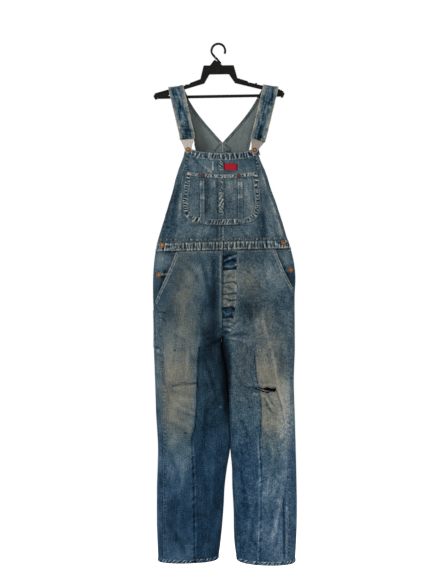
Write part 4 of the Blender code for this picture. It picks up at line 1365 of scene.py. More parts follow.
# %% [markdown]
# ## Hips, bib and back
# The cloth behind each slash pocket lies a few millimetres inside the leg's panel. The bib and the back are
# two halves each, with a felled seam down the middle. The back's halves run on upwards as wings, which end
# under the straps.


# %% Trunk panels
HIP_BOTTOM = {"right": 836.0, "left": 800.0}


def add_hip(side):
    def form(u, v):
        edge = slash_share(side, v)
        share = u * (edge + 0.05)
        return leg_spot(side, "front", v, share, SLASH_MOUTH * smooth(share / np.maximum(edge, 0.01)))

    bottom = HIP_BOTTOM[side]
    cloth = Face(form, "front", None, (0.0, 1.0), (WAIST_BOTTOM, bottom), lambda u, v: smooth(u / 0.2) * 0.7)
    u, v = np.meshgrid(np.linspace(0, 1, 26), np.linspace(WAIST_BOTTOM + SEAM, bottom, 52))
    lay_cloth(f"{side}_hip", [f"hip_{side}"], cloth, u, v, WALL * 0.7, fade=-0.12, single=PANEL_MARKS)


def add_bib(side):
    centre = float(INSEAM[side](WAIST_TOP)) + SIDES[side] * SEAM / 2
    a, b = np.meshgrid(np.linspace(0, 1, 62), np.linspace(0, 1, 112))
    edge_x = OUTER[side](BIB_TOP + (WAIST_TOP - BIB_TOP) * b)
    x = centre + (edge_x - centre) * np.sin(a * math.pi / 2)
    top = BIB_TOP + 19 * smooth((1 - a) / 0.75) ** 0.6
    drop = top + (WAIST_TOP - top) * b
    cloth = TRUNK_FACE["bib"]
    lay_cloth(f"{side}_bib", [f"bib_{side}"], cloth, x, drop, WALL * 0.8, single=PANEL_MARKS)


def add_back(side):
    wing, body = np.linspace(-1, 0, 32)[:-1], np.linspace(0, 1, 90)
    a, b = np.meshgrid(np.linspace(0, 1, 50), np.concatenate([wing, body]))
    lay_cloth(f"{side}_back", [f"back_{side}"], BACK[side], a, b, WALL * 0.8)


def back_face(side):
    def form(u, v):
        return back_spot(side, u, v)

    return Face(form, "back", None, (0.0, 1.0), (-1.0, 1.0), lambda u, v: 0.6 * smooth((1 - v) / 0.1))


def first_of(x, v):
    return x


TRUNK_FACE = {
    "bib": Face(bib_spot, "front", first_of, (-240.0, 270.0), (320.0, WAIST_TOP)),
    "waist": Face(trunk_spot, "front", first_of, (-240.0, 270.0), (WAIST_TOP, WAIST_BOTTOM)),
}
BACK = {side: back_face(side) for side in SIDES}
for trunk_side in SIDES:
    add_hip(trunk_side)
    add_bib(trunk_side)
    add_back(trunk_side)

print("sheets:", SHEETS)

# %% [markdown]
# ## Felled seams and hems
# A felled seam is four layers thick, sewn twice. Washing shrinks the thread less than the cloth, so the
# band puckers, and its high points are rubbed white while the hollows stay blue. That row of light and
# dark is what makes a seam read as denim. `beside` moves a line sideways over the cloth, `add_band` lays
# a raised, puckered strip along it, and `sew` remembers where each stitch of a row goes.


# %% Lines on the cloth
def dot(a, b):
    """The dot products of two arrays of vectors."""
    return np.einsum("...i,...i", a, b)


def trace(cloth, stops, step=1.6, pixels=True):
    """The u and v of points along a line, evenly spaced; its stops are pixels, or u and v themselves."""
    first, second = np.array(stops, float).T
    u, v = cloth.find(*seen(first, second)) if pixels else (first, second)
    many = np.linspace(0, len(u) - 1, 400)
    u, v = np.interp(many, range(len(u)), u), np.interp(many, range(len(v)), v)
    at = travelled(cloth.form(u, v))
    fine = np.linspace(0, at[-1], max(4, round(at[-1] / step)))
    return np.interp(fine, at, u), np.interp(fine, at, v)


def beside(cloth, u, v, offsets):
    """The line moved sideways over the cloth by each offset in millimetres, in four small steps."""
    tangent = unit(np.gradient(cloth.form(u, v), axis=0))[:, None]
    u, v, step = np.broadcast_arrays(u[:, None], v[:, None], np.asarray(offsets, float) / 4)
    for _ in range(4):
        along_u, along_v = cloth.slopes(u, v)
        aside = np.cross(unit(np.cross(along_u, along_v)) * cloth.sign, tangent)
        uu, uv, vv = dot(along_u, along_u), dot(along_u, along_v), dot(along_v, along_v)
        on_u, on_v = dot(along_u, aside), dot(along_v, aside)
        area = uu * vv - uv**2
        u = np.clip(u + step * (vv * on_u - uv * on_v) / area, *cloth.u_range)
        v = np.clip(v + step * (uu * on_v - uv * on_u) / area, *cloth.v_range)
    return u, v


print("points across the bib:", len(trace(TRUNK_FACE["bib"], ((200, 180), (240, 180)))[0]))

# %% Stitches and puckers
STITCHES = {"front": [], "back": []}
STITCH_PITCH = 3.4


def sew(group, spots, normals, pitch=STITCH_PITCH):
    """Remembers a row of stitches along a line of points."""
    at = travelled(spots)
    middles = np.arange(pitch / 2, at[-1], pitch)
    if len(middles) > 1:
        centre = np.stack([np.interp(middles, at, spots[:, k]) for k in range(3)], -1)
        up = unit(np.stack([np.interp(middles, at, normals[:, k]) for k in range(3)], -1))
        STITCHES[group].append((centre, unit(np.gradient(centre, axis=0)), up))


Band = namedtuple("Band", "width height pucker pitch slant fade contrast rim rows")


def puckers(t, s, pitch, slant, seed):
    """Uneven short troughs across a seam: -1 in a trough and above 0 beside it."""
    random = np.random.default_rng(seed)
    count = int(np.max(t) / pitch) + 4
    middle = (np.arange(count) + random.uniform(-0.4, 0.4, count)) * pitch
    lean = pitch * (slant + random.uniform(-0.4, 0.4, count))
    width = np.maximum(pitch * random.uniform(0.2, 0.36, count), 1.0)
    depth = random.uniform(0.3, 1.0, count)
    start, end = random.uniform(-1.2, -0.3, count), random.uniform(0.3, 1.2, count)
    total = np.zeros(np.shape(t + s))
    for near in (-1, 0, 1, 2):
        i = np.clip(np.floor(t / pitch).astype(int) + near, 0, count - 1)
        off = (t - middle[i] - lean[i] * s) / width[i]
        shape = 0.8 * np.exp(-((off - 1.9) ** 2)) - np.exp(-(off**2))
        total += depth[i] * shape * smooth((s - start[i]) / 0.35) * smooth((end[i] - s) / 0.35)
    return total


print("across three puckers:", puckers(np.array([0.0, 2.0, 4.0]), np.zeros(3), 7.0, 0.0, 1).round(2))

# %% Raised bands
def add_band(name, cloth, line, band, out=0.0, under=0.0, seed=5, single=()):
    """A raised strip along a line on the cloth; under lays it on the inner side of a wall this thick."""
    u, v = line
    shares = np.linspace(-1, 1, max(5, round(band.width / 1.7) | 1))
    at = travelled(cloth.form(u, v))
    s, t = np.meshgrid(shares, at)

    def height(s, t):
        wave = puckers(t, s, band.pitch, band.slant, seed)
        return band.height * (1 - s**6) + band.pucker * wave * (1 - 0.5 * s * s), wave

    grid_u, grid_v = beside(cloth, u, v, shares * band.width / 2)
    rise, wave = height(s, t)
    ends = smooth(np.minimum(t, at[-1] - t) / 2.0 + 0.15)
    sign = -1 if under else 1
    spots = cloth.at(grid_u, grid_v, sign * (rise * ends + out) - under)
    ridge = np.exp(-(((abs(s) - 0.78) / 0.13) ** 2)) * (0.75 + 0.5 * bumps(t, s * 3, 5.0, seed + 2))
    fade = band.fade + band.contrast * wave + band.rim * ridge - 0.12 * (abs(s) > 0.95)
    grey = 0.45 if under else 0.0
    dirt = 0.5 * band.rim * ridge + grey
    layers = wear_and_shade_layers(cloth.face, spots, fade=fade + 0.3 * grey, dirt=dirt, single=single)
    outward = np.array([0, FACING[cloth.face] * sign, 0])
    piece = add_cloth(name, spots, layers, outward, 0.6, (denim, denim))
    finish_piece(piece, [])
    group = cloth.face if not under else "front"
    for share in band.rows:
        row_u, row_v = beside(cloth, u, v, [share * band.width])
        row_rise = height(np.full(len(at), share * 2), at)[0] * ends[:, 0]
        row_spots = cloth.at(row_u[:, 0], row_v[:, 0], sign * (row_rise + out + 0.25) - under)
        sew(group, row_spots, cloth.normal(row_u[:, 0], row_v[:, 0]) * sign)
    return piece


def both_ways(stops, middle=222.0):
    """A line and its mirror image, for the two sides of the garment."""
    return {"right": stops, "left": [(2 * middle - x, y) for x, y in stops]}


print("a line and its mirror image:", both_ways(((200, 150), (210, 160))))


# %% [markdown]
# ## Waistband
# The waistband is folded double, and every stitch along it has drawn up a pucker. It is one fine grid round
# the front, denser across than down, with the same puckers as a seam.

# %% Waistband
levels = np.linspace(WAIST_TOP + SEAM, WAIST_BOTTOM - 2 * SEAM, 16)
a_grid, band_drop = np.meshgrid(np.linspace(0, 1, 290), levels)
band_right, band_left = OUTER["right"](band_drop), OUTER["left"](band_drop)
band_x = (band_right + band_left) / 2 + (band_left - band_right) / 2 * np.sin((a_grid - 0.5) * math.pi)
fringe = (band_drop - 655) / 15
pucker = puckers(band_x + 300, fringe, 7.0, 0.0, 61)
band_spots = TRUNK_FACE["waist"].at(band_x, band_drop, 0.7 + 0.7 * pucker)
band_rim = np.exp(-(((abs(fringe) - 0.62) / 0.16) ** 2))
band_fade = 0.70 * pucker + 0.26 * band_rim - 0.50 * (fringe > 0.86)
band_layers = wear_and_shade_layers("front", band_spots, fade=band_fade, single=WAIST_MARKS)
waistband = add_cloth("waistband", band_spots, band_layers, (0, -1, 0), WALL)
finish_piece(waistband, ["waistband_front"])
cloth_sheet(waistband, TRUNK_FACE["waist"].form(band_x, band_drop))
print("waistband:", SHEETS[-1])

# %% [markdown]
# ## Seams of the front
# The long bands come first: armhole hems, the bib's hem and seams, the slash pockets' edges, the outseams
# with their twin rows, the inseams and the turned-up hems. Hems rope: their puckers run aslant.

# %% Front bands
# width, height, pucker, pitch, slant, fade, contrast, rim, rows of stitches as shares of the width
TWO_ROWS = (-0.34, 0.34)
HEMMED = Band(11, 0.9, 0.25, 6.0, 0.2, 0.0, 0.10, 0.14, TWO_ROWS)
BIB_HEM = Band(24, 0.9, 1.4, 8.6, 0.1, -0.02, 0.95, 0.42, (-0.42, 0.40))
FELLED = Band(9, 0.8, 0.7, 7.4, 0.0, 0.0, 0.50, 0.26, TWO_ROWS)
CENTRE = Band(17, 0.9, 1.0, 7.6, 0.9, 0.02, 0.62, 0.06, TWO_ROWS)
POCKET_EDGE = Band(12, 0.9, 0.3, 8.0, 0.0, 0.08, 0.20, 0.95, TWO_ROWS)
TWIN = Band(13, 0.8, 0.4, 9.0, 0.2, 0.0, 0.20, 0.12, TWO_ROWS)
ROPED = Band(13, 1.0, 1.1, 9.0, 0.8, 0.06, 0.85, 0.40, (0.36,))
PLAIN_SEAM = Band(17, 0.9, 0.4, 9.0, 0.0, 0.02, 0.25, 0.06, TWO_ROWS)
THIN = Band(6, 0.6, 0.4, 7.0, 0.0, 0.0, 0.10, 0.06, (0.0,))
INSEAM_FELL = THIN._replace(rows=())
POCKET_BORDER = Band(19, 0.8, 1.0, 8.2, 0.15, 0.0, 0.80, 0.34, (-0.42, 0.38))
RIM = Band(12, 0.8, 0.9, 8.4, 0.2, 0.14, 0.75, 0.50, TWO_ROWS)
BACK_WAIST = Band(15, 0.9, 0.6, 7.0, 0.0, 0.0, 0.25, 0.12, TWO_ROWS)

SLASH_END = {"right": 838, "left": 800}
HEM_STOPS = [(share, HEM - 6.4) for share in (0.004, 0.5, 0.996)]

bib = TRUNK_FACE["bib"]
hem_line = ((184.6, 151.2), (190, 152.6), (199, 155.2), (210, 156.4), (222, 156.8))
hem_line += ((234, 156.4), (245, 155.2), (254, 152.6), (259.4, 151.2))
add_band("bib_hem", bib, trace(bib, hem_line), BIB_HEM, seed=11)
add_band("bib_centre_seam", bib, trace(bib, ((221, 160), (221.5, 171))), CENTRE, seed=13)
low_seam = trace(bib, ((221.5, 227), (221.5, 240.6)))
add_band("bib_centre_seam_low", bib, low_seam, PLAIN_SEAM, seed=14, single=LOW_SEAM_MARKS)
foot_seam = trace(bib, ((160, 240), (190, 240), (222, 239.6), (255, 239), (285, 238.4)))
add_band("bib_foot_seam", bib, foot_seam, FELLED, seed=15)
for side, stops in both_ways(((187.4, 156), (186.4, 164), (186.2, 171.5))).items():
    add_band(f"bib_seam_{side}", bib, trace(bib, stops), FELLED, seed=17)
for side, sign in SIDES.items():
    levels = np.linspace(334, 636, 30)
    edge = np.stack([OUTER[side](levels) - sign * 6.2, levels], -1)
    add_band(f"armhole_hem_{side}", bib, trace(bib, edge, pixels=False), HEMMED, seed=19 + sign)
    front, back = LEG[side, "front"], LEG[side, "back"]
    levels = np.linspace(WAIST_BOTTOM + 2, SLASH_END[side], 40)
    share = leg_share(side, OUTER[side](levels) - sign * (SLASH_IN[side](levels) + 5.0), levels)
    slash = trace(front, np.stack([share, levels], -1), pixels=False)
    add_band(f"slash_{side}", front, slash, POCKET_EDGE, seed=23)
    add_band(f"hem_{side}", front, trace(front, HEM_STOPS, pixels=False), ROPED, seed=29 + sign)
    add_band(f"hem_{side}_back", back, trace(back, HEM_STOPS, pixels=False), ROPED, seed=33 + sign)
    for face, cloth in (("front", front), ("back", back)):
        levels = np.linspace(1030, HEM - 14, 60)
        share = leg_share(side, INSEAM[side](levels) + sign * 5.0, levels)
        line = trace(cloth, np.stack([share, levels], -1), pixels=False)
        add_band(f"inseam_{side}_{face}", cloth, line, INSEAM_FELL, seed=37)
outseams = {
    "right": ((160.5, 312), (161.5, 350), (164.5, 400), (165, 450), (165, 500), (164.8, 556)),
    "left": ((289.5, 312), (289, 350), (288.5, 400), (289, 450), (289.3, 500), (288.8, 556)),
}
for side, stops in outseams.items():
    panel = LEG[side, "front"]
    add_band(f"outseam_{side}", panel, trace(panel, stops), TWIN, seed=43 + SIDES[side])

# %% [markdown]
# ## Seams of the back
# The back has its centre seam, hems along its wings and armholes, and a waist seam. Its hems are turned to
# the inside, which shows in the V of the neck, so each has a second band on the inner side of the cloth.

# %% Back bands
for side, sign in SIDES.items():
    cloth = BACK[side]
    armhole = [(0.76 + 0.14 * smooth(b / 0.3) - 0.1 * smooth(-b), b) for b in np.linspace(-0.98, 0.97, 40)]
    neck = [(0.04 + 0.06 * smooth(-b), b) for b in np.linspace(-0.98, -0.02, 24)]
    centre = [(0.028, b) for b in np.linspace(0.03, 0.97, 24)]
    back_lines = {"armhole": (armhole, HEMMED), "neck": (neck, HEMMED), "centre": (centre, FELLED)}
    for label, (stops, band) in back_lines.items():
        line = trace(cloth, stops, pixels=False)
        add_band(f"back_{label}_{side}", cloth, line, band, seed=47 + sign)
        if label != "centre":
            add_band(f"back_{label}_{side}_inner", cloth, line, band, under=WALL * 0.8, seed=51 + sign)
    cross = trace(cloth, ((0.05, 0.015), (0.15, 0.06), (0.34, 0.16)), pixels=False)
    add_band(f"back_cross_{side}", cloth, cross, THIN, under=WALL * 0.8, seed=53 + sign)
    back = LEG[side, "back"]
    waist = [(a, WAIST_TOP + 9) for a in np.linspace(0.01, 0.985, 24)]
    drops = np.linspace(WAIST_TOP + 16, 930, 24)
    rise = [(leg_share(side, INSEAM[side](d) + sign * 6.0, d), d) for d in drops]
    add_band(f"back_waist_{side}", back, trace(back, waist, pixels=False), BACK_WAIST, seed=55)
    add_band(f"back_rise_{side}", back, trace(back, rise, pixels=False), FELLED, seed=57)

# %% [markdown]
# ## Pocket, dividers, fly, side strip and label
# These lie on the panels, so they take the panel's own relief and stand off it by their thickness. The
# pocket's border and its top rim are bands, as the seams are. The buttons behind the fly press hard creases
# into it.


# %% Patches
def patch(name, replaced, size, points, out, wall=1.0, cloth=bib, **look):
    """A patch on the cloth: points(a, b) gives its u and v, and size is its rows and columns."""
    rows, columns = size
    a, b = np.meshgrid(np.linspace(0, 1, columns), np.linspace(0, 1, rows))
    look = {key: value(a, b) if callable(value) else value for key, value in look.items()}
    lay_cloth(name, replaced, cloth, *points(a, b), wall, out(a, b) if callable(out) else out, **look)


print("sheets before the patches:", len(SHEETS))

# %% Chest pocket
# share of the height, right edge, left edge
POCKET = (
    (0.0, -105, 127),
    (0.25, -113, 134),
    (0.5, -118, 137),
    (0.78, -118, 137),
    (0.9, -111, 132),
    (1.0, -91, 112),
)
POCKET_OUT = PATCH_WALL + SEAM + 0.3

POCKET_MARKS = (
    # painted shadow inside the pen slot beside the right divider
    (207.5, 180.5, 207.5, 209, 2.6, -0.26),
    (204.5, 179, 204.6, 212, 0.7, -0.12),
    (199.4, 178, 199.6, 220, 0.8, -0.26),
    (205.0, 178, 205.2, 220, 0.7, -0.2),
    (237.6, 178, 237.9, 220, 0.8, -0.26),
    (242.8, 178, 242.9, 220, 0.8, -0.26),
    (217.3, 178, 217.6, 220, 0.8, -0.32),
    (224.4, 178, 224.6, 220, 0.8, -0.24),
    (214.5, 178, 213.5, 205, 1.4, 0.14),
    (211.8, 180, 211.8, 214, 1.2, 0.1),
    (194, 182, 190, 212, 2.0, 0.06),
    (228, 182, 234, 200, 1.6, 0.1),
    (232, 178, 236, 192, 1.2, -0.12),
    (246, 184, 250, 210, 2.2, 0.1),
    (200, 177.6, 206, 177.6, 1.6, -0.3),
    (226, 178.6, 236, 178.6, 1.6, -0.18),
    (241, 178, 250, 177.6, 1.4, -0.26),
    (208, 178.6, 218, 179, 1.4, -0.14),
)
SEAM_MARKS = (
    (218.8, 206, 222.8, 199.5, 0.7, 0.60),
    (218.6, 201, 221.6, 196, 0.7, 0.45),
    (220.6, 208.5, 223.6, 203.5, 0.7, 0.50),
    (218.4, 204, 221.2, 199, 0.6, -0.40),
    (220.4, 206.6, 223.4, 201.2, 0.6, -0.45),
    (218.6, 212, 222, 209, 0.6, 0.30),
)


def pocket_points(a, b):
    right, left = through(POCKET, 1)(b), through(POCKET, 2)(b)
    top = 411 + 40 * a * (1 - a)
    bottom = 578 + 44 * a * (1 - a)
    return right + (left - right) * a, top + (bottom - top) * b


patch("chest_pocket", ["bib_pocket"], (66, 92), pocket_points, POCKET_OUT, single=POCKET_MARKS)
border = ((188.6, 172.5), (187, 186), (185.4, 200), (185.6, 209), (188, 215.5), (194, 219.6), (207, 221.8))
border += ((222, 222.2), (237, 221.8), (249, 219.6), (255, 215.5), (257.4, 209), (257.6, 200))
border += ((256.4, 186), (254.8, 172.5))
add_band("pocket_border", bib, trace(bib, border), POCKET_BORDER, POCKET_OUT, seed=63)
pocket_rim = ((187.5, 173.6), (204, 175.8), (222, 176.6), (240, 175.8), (256, 173.6))
add_band("pocket_rim", bib, trace(bib, pocket_rim), RIM, POCKET_OUT, seed=65)
pocket_centre = trace(bib, ((221, 180), (221.4, 200), (221.4, 217)))
add_band("pocket_centre_seam", bib, pocket_centre, CENTRE, POCKET_OUT, seed=67, single=SEAM_MARKS)
print("chest pocket:", SHEETS[-1])

# %% Pocket dividers
DIVIDER_LENGTH = 148
# top, bottom, then right and left edges at each end
STRIPS = {"right": (435, 583, -60, -45.5, -59, -45), "left": (437, 581, 62.5, 78, 64, 79)}
for side, (top, bottom, right_top, left_top, right_low, left_low) in STRIPS.items():

    def strip_points(a, b):
        right, left = right_top + (right_low - right_top) * b, left_top + (left_low - left_top) * b
        return right + (left - right) * a, top + (bottom - top) * b

    def strip_rise(a, b):
        return 3.2 + 0.5 * bumps(b * DIVIDER_LENGTH, a * 3, 7.0, 71) + 0.3 * abs(2 * a - 1)

    def strip_fade(a, b):
        return 0.14 * bumps(b * DIVIDER_LENGTH, a * 3, 7.0, 71) + 0.12 * (abs(2 * a - 1) > 0.6)

    replaced = [f"pocket_divider_{side}"]
    patch(f"divider_{side}", replaced, (60, 9), strip_points, strip_rise, 0.7, fade=strip_fade)
print("dividers:", SHEETS[-2:])

# %% Fly flap
# drops, then its right and left edge at the top and at the bottom
FLY_TOP, FLY_BOTTOM = 673, 912
FLY_RIGHT, FLY_LEFT = (15, 11.8), (59, 47)
# share of the height and depth of each crease; a minus sign makes a ridge
FLY_CREASES = (
    *((0.05, 1.2), (0.10, -1.0), (0.15, 1.2), (0.20, -0.8), (0.245, 1.5), (0.34, 0.5), (0.43, 1.5)),
    *((0.50, 0.5), (0.58, 1.5), (0.66, 1.4), (0.765, 1.6), (0.83, -0.6), (0.895, 1.4), (0.95, 0.6)),
)


def fly_points(a, b):
    drop = FLY_TOP + (FLY_BOTTOM - FLY_TOP) * b
    right = FLY_RIGHT[0] + (FLY_RIGHT[1] - FLY_RIGHT[0]) * b
    left = FLY_LEFT[0] + (FLY_LEFT[1] - FLY_LEFT[0]) * smooth((b - 0.6) / 0.4)
    return leg_share("left", right + (left - right) * a, drop), drop


def fly_wave(a, b):
    bent = b + 0.012 * np.sin(a * 5 + b * 40) + 0.01 * bumps(a * 3, b * 9, 1.0, 75)
    bent = bent + 0.05 * (a - 0.5) * (b < 0.22)
    return sum(-depth * np.exp(-(((bent - at) / 0.011) ** 2)) for at, depth in FLY_CREASES)


def fly_rise(a, b):
    return PATCH_WALL + SEAM + 0.2 + 0.7 * fly_wave(a, b) + 0.5 * bumps(a * 4, b * 22, 1.0, 76)


def fly_zones(b, middle, foot, soft):
    """The pale stretch over the buttons and the pale foot, each with its own amount."""
    over_buttons = smooth((b - 0.235) / soft) * (1 - smooth((b - 0.75) / soft))
    return middle * over_buttons + foot * smooth((b - 0.89) / soft)


def fly_fade_and_shade(a, b):
    zones = fly_zones(b, 0.34, 0.30, 0.02)
    # the dark strip along the flap's edge at the centre seam is painted shadow
    edge = 0.16 * (a > 0.88) - 0.22 * (a < 0.06)
    return zones - 0.22 + 0.34 * fly_wave(a, b) + edge + 0.14 * bumps(a * 4, b * 22, 1.0, 77)


def fly_dirt(a, b):
    return fly_zones(b, 0.55, 0.4, 0.03) - 0.3


fly_wear_and_shade = {"fade": fly_fade_and_shade, "dirt": fly_dirt}
patch("fly_flap", ["fly"], (110, 22), fly_points, fly_rise, cloth=LEG["left", "front"], **fly_wear_and_shade)
print("fly flap:", SHEETS[-1])

# %% Edge of the tool pocket
TOOL_TOP, TOOL_BOTTOM = 863, 985


def side_strip_points(a, b):
    return 0.02 + 0.1 * a, TOOL_TOP + (TOOL_BOTTOM - TOOL_TOP) * b


def side_strip_waver(a, b):
    return bumps(b * (TOOL_BOTTOM - TOOL_TOP), 0 * a, 7.0, 79)


def side_strip_rise(a, b):
    return PATCH_WALL + SEAM + 0.1 + 0.3 * side_strip_waver(a, b)


side_wear = {"cloth": LEG["right", "front"], "fade": lambda a, b: 0.10 + 0.14 * side_strip_waver(a, b)}
patch("tool_pocket_strip", ["tool_pocket_edge"], (60, 12), side_strip_points, side_strip_rise, **side_wear)
print("edge of the tool pocket:", SHEETS[-1])


# %% Label
def label_points(a, b):
    right, left = 18 + 0.5 * b, 61.5
    return right + (left - right) * a, 387 + 22.5 * b


def label_rise(a, b):
    return 1.1 + 0.5 * smooth((a - 0.9) / 0.1) + 0.35 * bumps(a * 5, b * 3, 1.0, 81)


def label_edge(a, b):
    """0 over the patch, and nearly 1 along its dark turned edge."""
    return 0.95 * smooth((np.maximum(abs(2 * a - 1), abs(2 * b - 1) - 0.06) - 0.80) / 0.14)


label_look = {"slot": "label_cloth", "materials": (red_weave, red_weave), "rub": label_edge}
patch("red_label", ["label"], (26, 46), label_points, label_rise, 0.7, **label_look)
print("patches done:", len(PIECES), "pieces")

# %% [markdown]
# ## Straps
# A strap is two layers of denim, sewn along both edges, so washing draws it into deep lengthwise
# troughs between pale, rubbed edges. It rises from the buckle, goes over the hanger's arm and ends on the
# back. Its middle line is a few stations, with a smooth curve through them.


# %% Strap lines
def normalize(v):
    return np.asarray(v, float) / np.linalg.norm(v)


BIB_BUTTONS = {"right": (-98, 342), "left": (117, 344)}
BUCKLE_OUT, BUCKLE_HALF = 0.7, 1.0
BUCKLE_LEAN = {"right": -0.09, "left": 0.33}  # how far each leans to +X as it rises
BUTTON_DIAMETER, RIVET_DIAMETER = 16.5, 14.5
STRAP_WIDTH, STRAP_WALL, STRAP_BEND, STRAP_END = 50.0, 3.0, 13.0, 35.0
STRAP_SEATS = {"right": (-137, 145.7, 0.15), "left": (169, 144.0, -0.15)}  # x, drop and slope of the arm


def spot_frame(surface, x, drop):
    """The point of a plain surface, with its normal and the upward direction there."""
    level = drop + waist_lift(x, drop)
    x, level = np.array(float(x)), np.array(float(level))
    across, up = surface(x + 2, level) - surface(x - 2, level), surface(x, level - 2) - surface(x, level + 2)
    return surface(x, level), normalize(np.cross(across, up)), normalize(up)


def buckle_frame(side):
    """The button's place, and the plate's directions across, up towards the strap, and out."""
    at, normal, up = spot_frame(bib_spot, *BIB_BUTTONS[side])
    towards = np.array((BUCKLE_LEAN[side], 0, 1.0))
    up = normalize(towards - normal * (towards @ normal))
    return at, np.cross(up, normal), up, normal


def mix(a, b, t):
    return a + (b - a) * t


def strap_stations(side):
    """Points of the strap's outer middle line, each with its direction across."""
    sign = SIDES[side]
    at, across, up, normal = buckle_frame(side)
    lift = BUCKLE_OUT + 2 * BUCKLE_HALF + SEAM + STRAP_WALL
    end, near = at + up * STRAP_END + normal * lift, at + up * (STRAP_END + 16) + normal * lift
    x, drop, slope = STRAP_SEATS[side]
    axis = np.array((x, 0.0, -drop))
    along, rise = normalize((1, 0, slope)), normalize((-slope, 0, 1))
    ahead, behind = axis - np.array((0, STRAP_BEND, 0)), axis + np.array((0, STRAP_BEND, 0))
    stations = [(end, across), (near, across)]
    stations += [(mix(near, ahead, t), normalize(mix(across, along, t))) for t in (0.3, 0.55, 0.8)]
    for turn in np.radians(range(0, 181, 30)):
        spoke = np.array((0, -math.cos(turn), 0)) + rise * math.sin(turn)
        stations.append((axis + spoke * STRAP_BEND, along))
    _, outer, outer_drop, inner, inner_drop, depth = WINGS[0]
    outer_at = np.array((MIDDLE + sign * outer, depth, -outer_drop))
    inner_at = np.array((MIDDLE + sign * inner, depth, -inner_drop))
    slant = normalize(outer_at - inner_at) * sign
    foot = (outer_at + inner_at) / 2 + np.array((0, 0.5, SEAM + 0.4))
    stations += [(mix(behind, foot, 0.5), normalize(mix(along, slant, 0.5))), (foot, slant)]
    return stations


print("places along a strap:", len(strap_stations("right")))

# %% Strap cloth
# middle and width as shares of the half width, depth in millimetres
STRAP_TROUGHS = ((-0.42, 0.09, 1.6), (-0.10, 0.11, 2.4), (0.12, 0.07, 1.4), (0.38, 0.10, 2.0))
STRAP_COLUMNS = 40


def add_strap(side, seed):
    stations = strap_stations(side)
    at = travelled(np.array([centre for centre, _ in stations]))
    fine = np.linspace(0, at[-1], round(at[-1] / 1.7))
    lines = np.concatenate([np.array([c for c, _ in stations]), np.array([d for _, d in stations])], 1)
    path = np.stack([np.interp(fine, at, lines[:, k]) for k in range(6)], -1)
    for _ in range(10):  # rounds off the corners between stations
        path[1:-1] = (path[:-2] + 2 * path[1:-1] + path[2:]) / 4
    centre, across = path[:, :3], unit(path[:, 3:])
    normal = unit(np.cross(across, np.gradient(centre, axis=0)))
    s, t = np.meshgrid(np.linspace(-1, 1, STRAP_COLUMNS), fine)
    troughs = 0 * s
    for k, (middle, width, depth) in enumerate(STRAP_TROUGHS):
        wander = 0.10 * bumps(t, 0 * t, 30.0, seed + k) + 0.05 * bumps(t, 0 * t, 9.0, seed + 9 + k)
        uneven = 0.65 + 0.5 * bumps(t, 0 * t, 22.0, seed + 20 + k)
        troughs += depth * uneven * np.exp(-(((s - middle - wander) / width) ** 2))
    wrinkle = 0.5 - abs(bumps(t + 5 * s, s * 2.5, 7.0, seed + 1))
    hold = smooth(np.minimum(t, at[-1] - t) / 10) * 0.85 + 0.15
    edge = smooth((abs(s) - 0.62) / 0.2)
    tucks = puckers(t, s, 5.0, 0.0, seed + 3) * edge
    height = -troughs * hold + 0.6 * wrinkle * hold + 0.4 * tucks
    plain = centre[:, None] + across[:, None] * (s * STRAP_WIDTH / 2)[..., None]
    frayed = 0.6 * bumps(t, s * 9, 3.2, seed + 4) * (abs(s) > 0.97)
    spots = plain + normal[:, None] * height[..., None] + across[:, None] * (frayed * np.sign(s))[..., None]
    near_buckle = smooth((70 - t) / 40)
    fade = 0.57 + 0.14 * edge - 0.17 * np.minimum(troughs, 2) + 0.16 * wrinkle + 0.18 * tucks
    fade = fade - 0.22 * near_buckle * np.exp(-((s / 0.4) ** 2))
    fade = fade + 0.20 * bumps(t * 0.5, s * 18, 7.0, seed + 6)
    layers = {
        "fade": fade + 0.16 * (abs(s) > 0.93),
        "dirt": 0.05 + 0.45 * edge + 0.10 * bumps(t, s * 8, 12.0, seed + 5),
        "rub": 0.4 * (abs(s) > 0.96),
        "spot": 0 * s,
    }
    piece = add_cloth(f"{side}_strap", spots, layers, (0, -0.2, 1), STRAP_WALL, (denim, denim))
    finish_piece(piece, [f"strap_{side}"])
    cloth_sheet(piece, plain)
    for share in (0.07, 0.115, 0.885, 0.93):  # two rows of stitches along each edge
        column = round(share * (STRAP_COLUMNS - 1))
        sew("front", spots[:, column] + normal * 0.3, normal)
    return spots


STRAP = {side: add_strap(side, 90 + 9 * SIDES[side]) for side in SIDES}
print("strap length:", [round(float(lengths(STRAP[s], 0)[-1].mean())) for s in SIDES], "mm")

# %% [markdown]
# ## Buttons, rivets and buckles
# A jeans button is pressed from thin brass: a domed middle, a groove, and a rolled rim, all worn bright
# where hands touch it and brown in the groove. Each is turned from a profile, as on a lathe, and a value
# stored on its points tells the metal where the groove is.


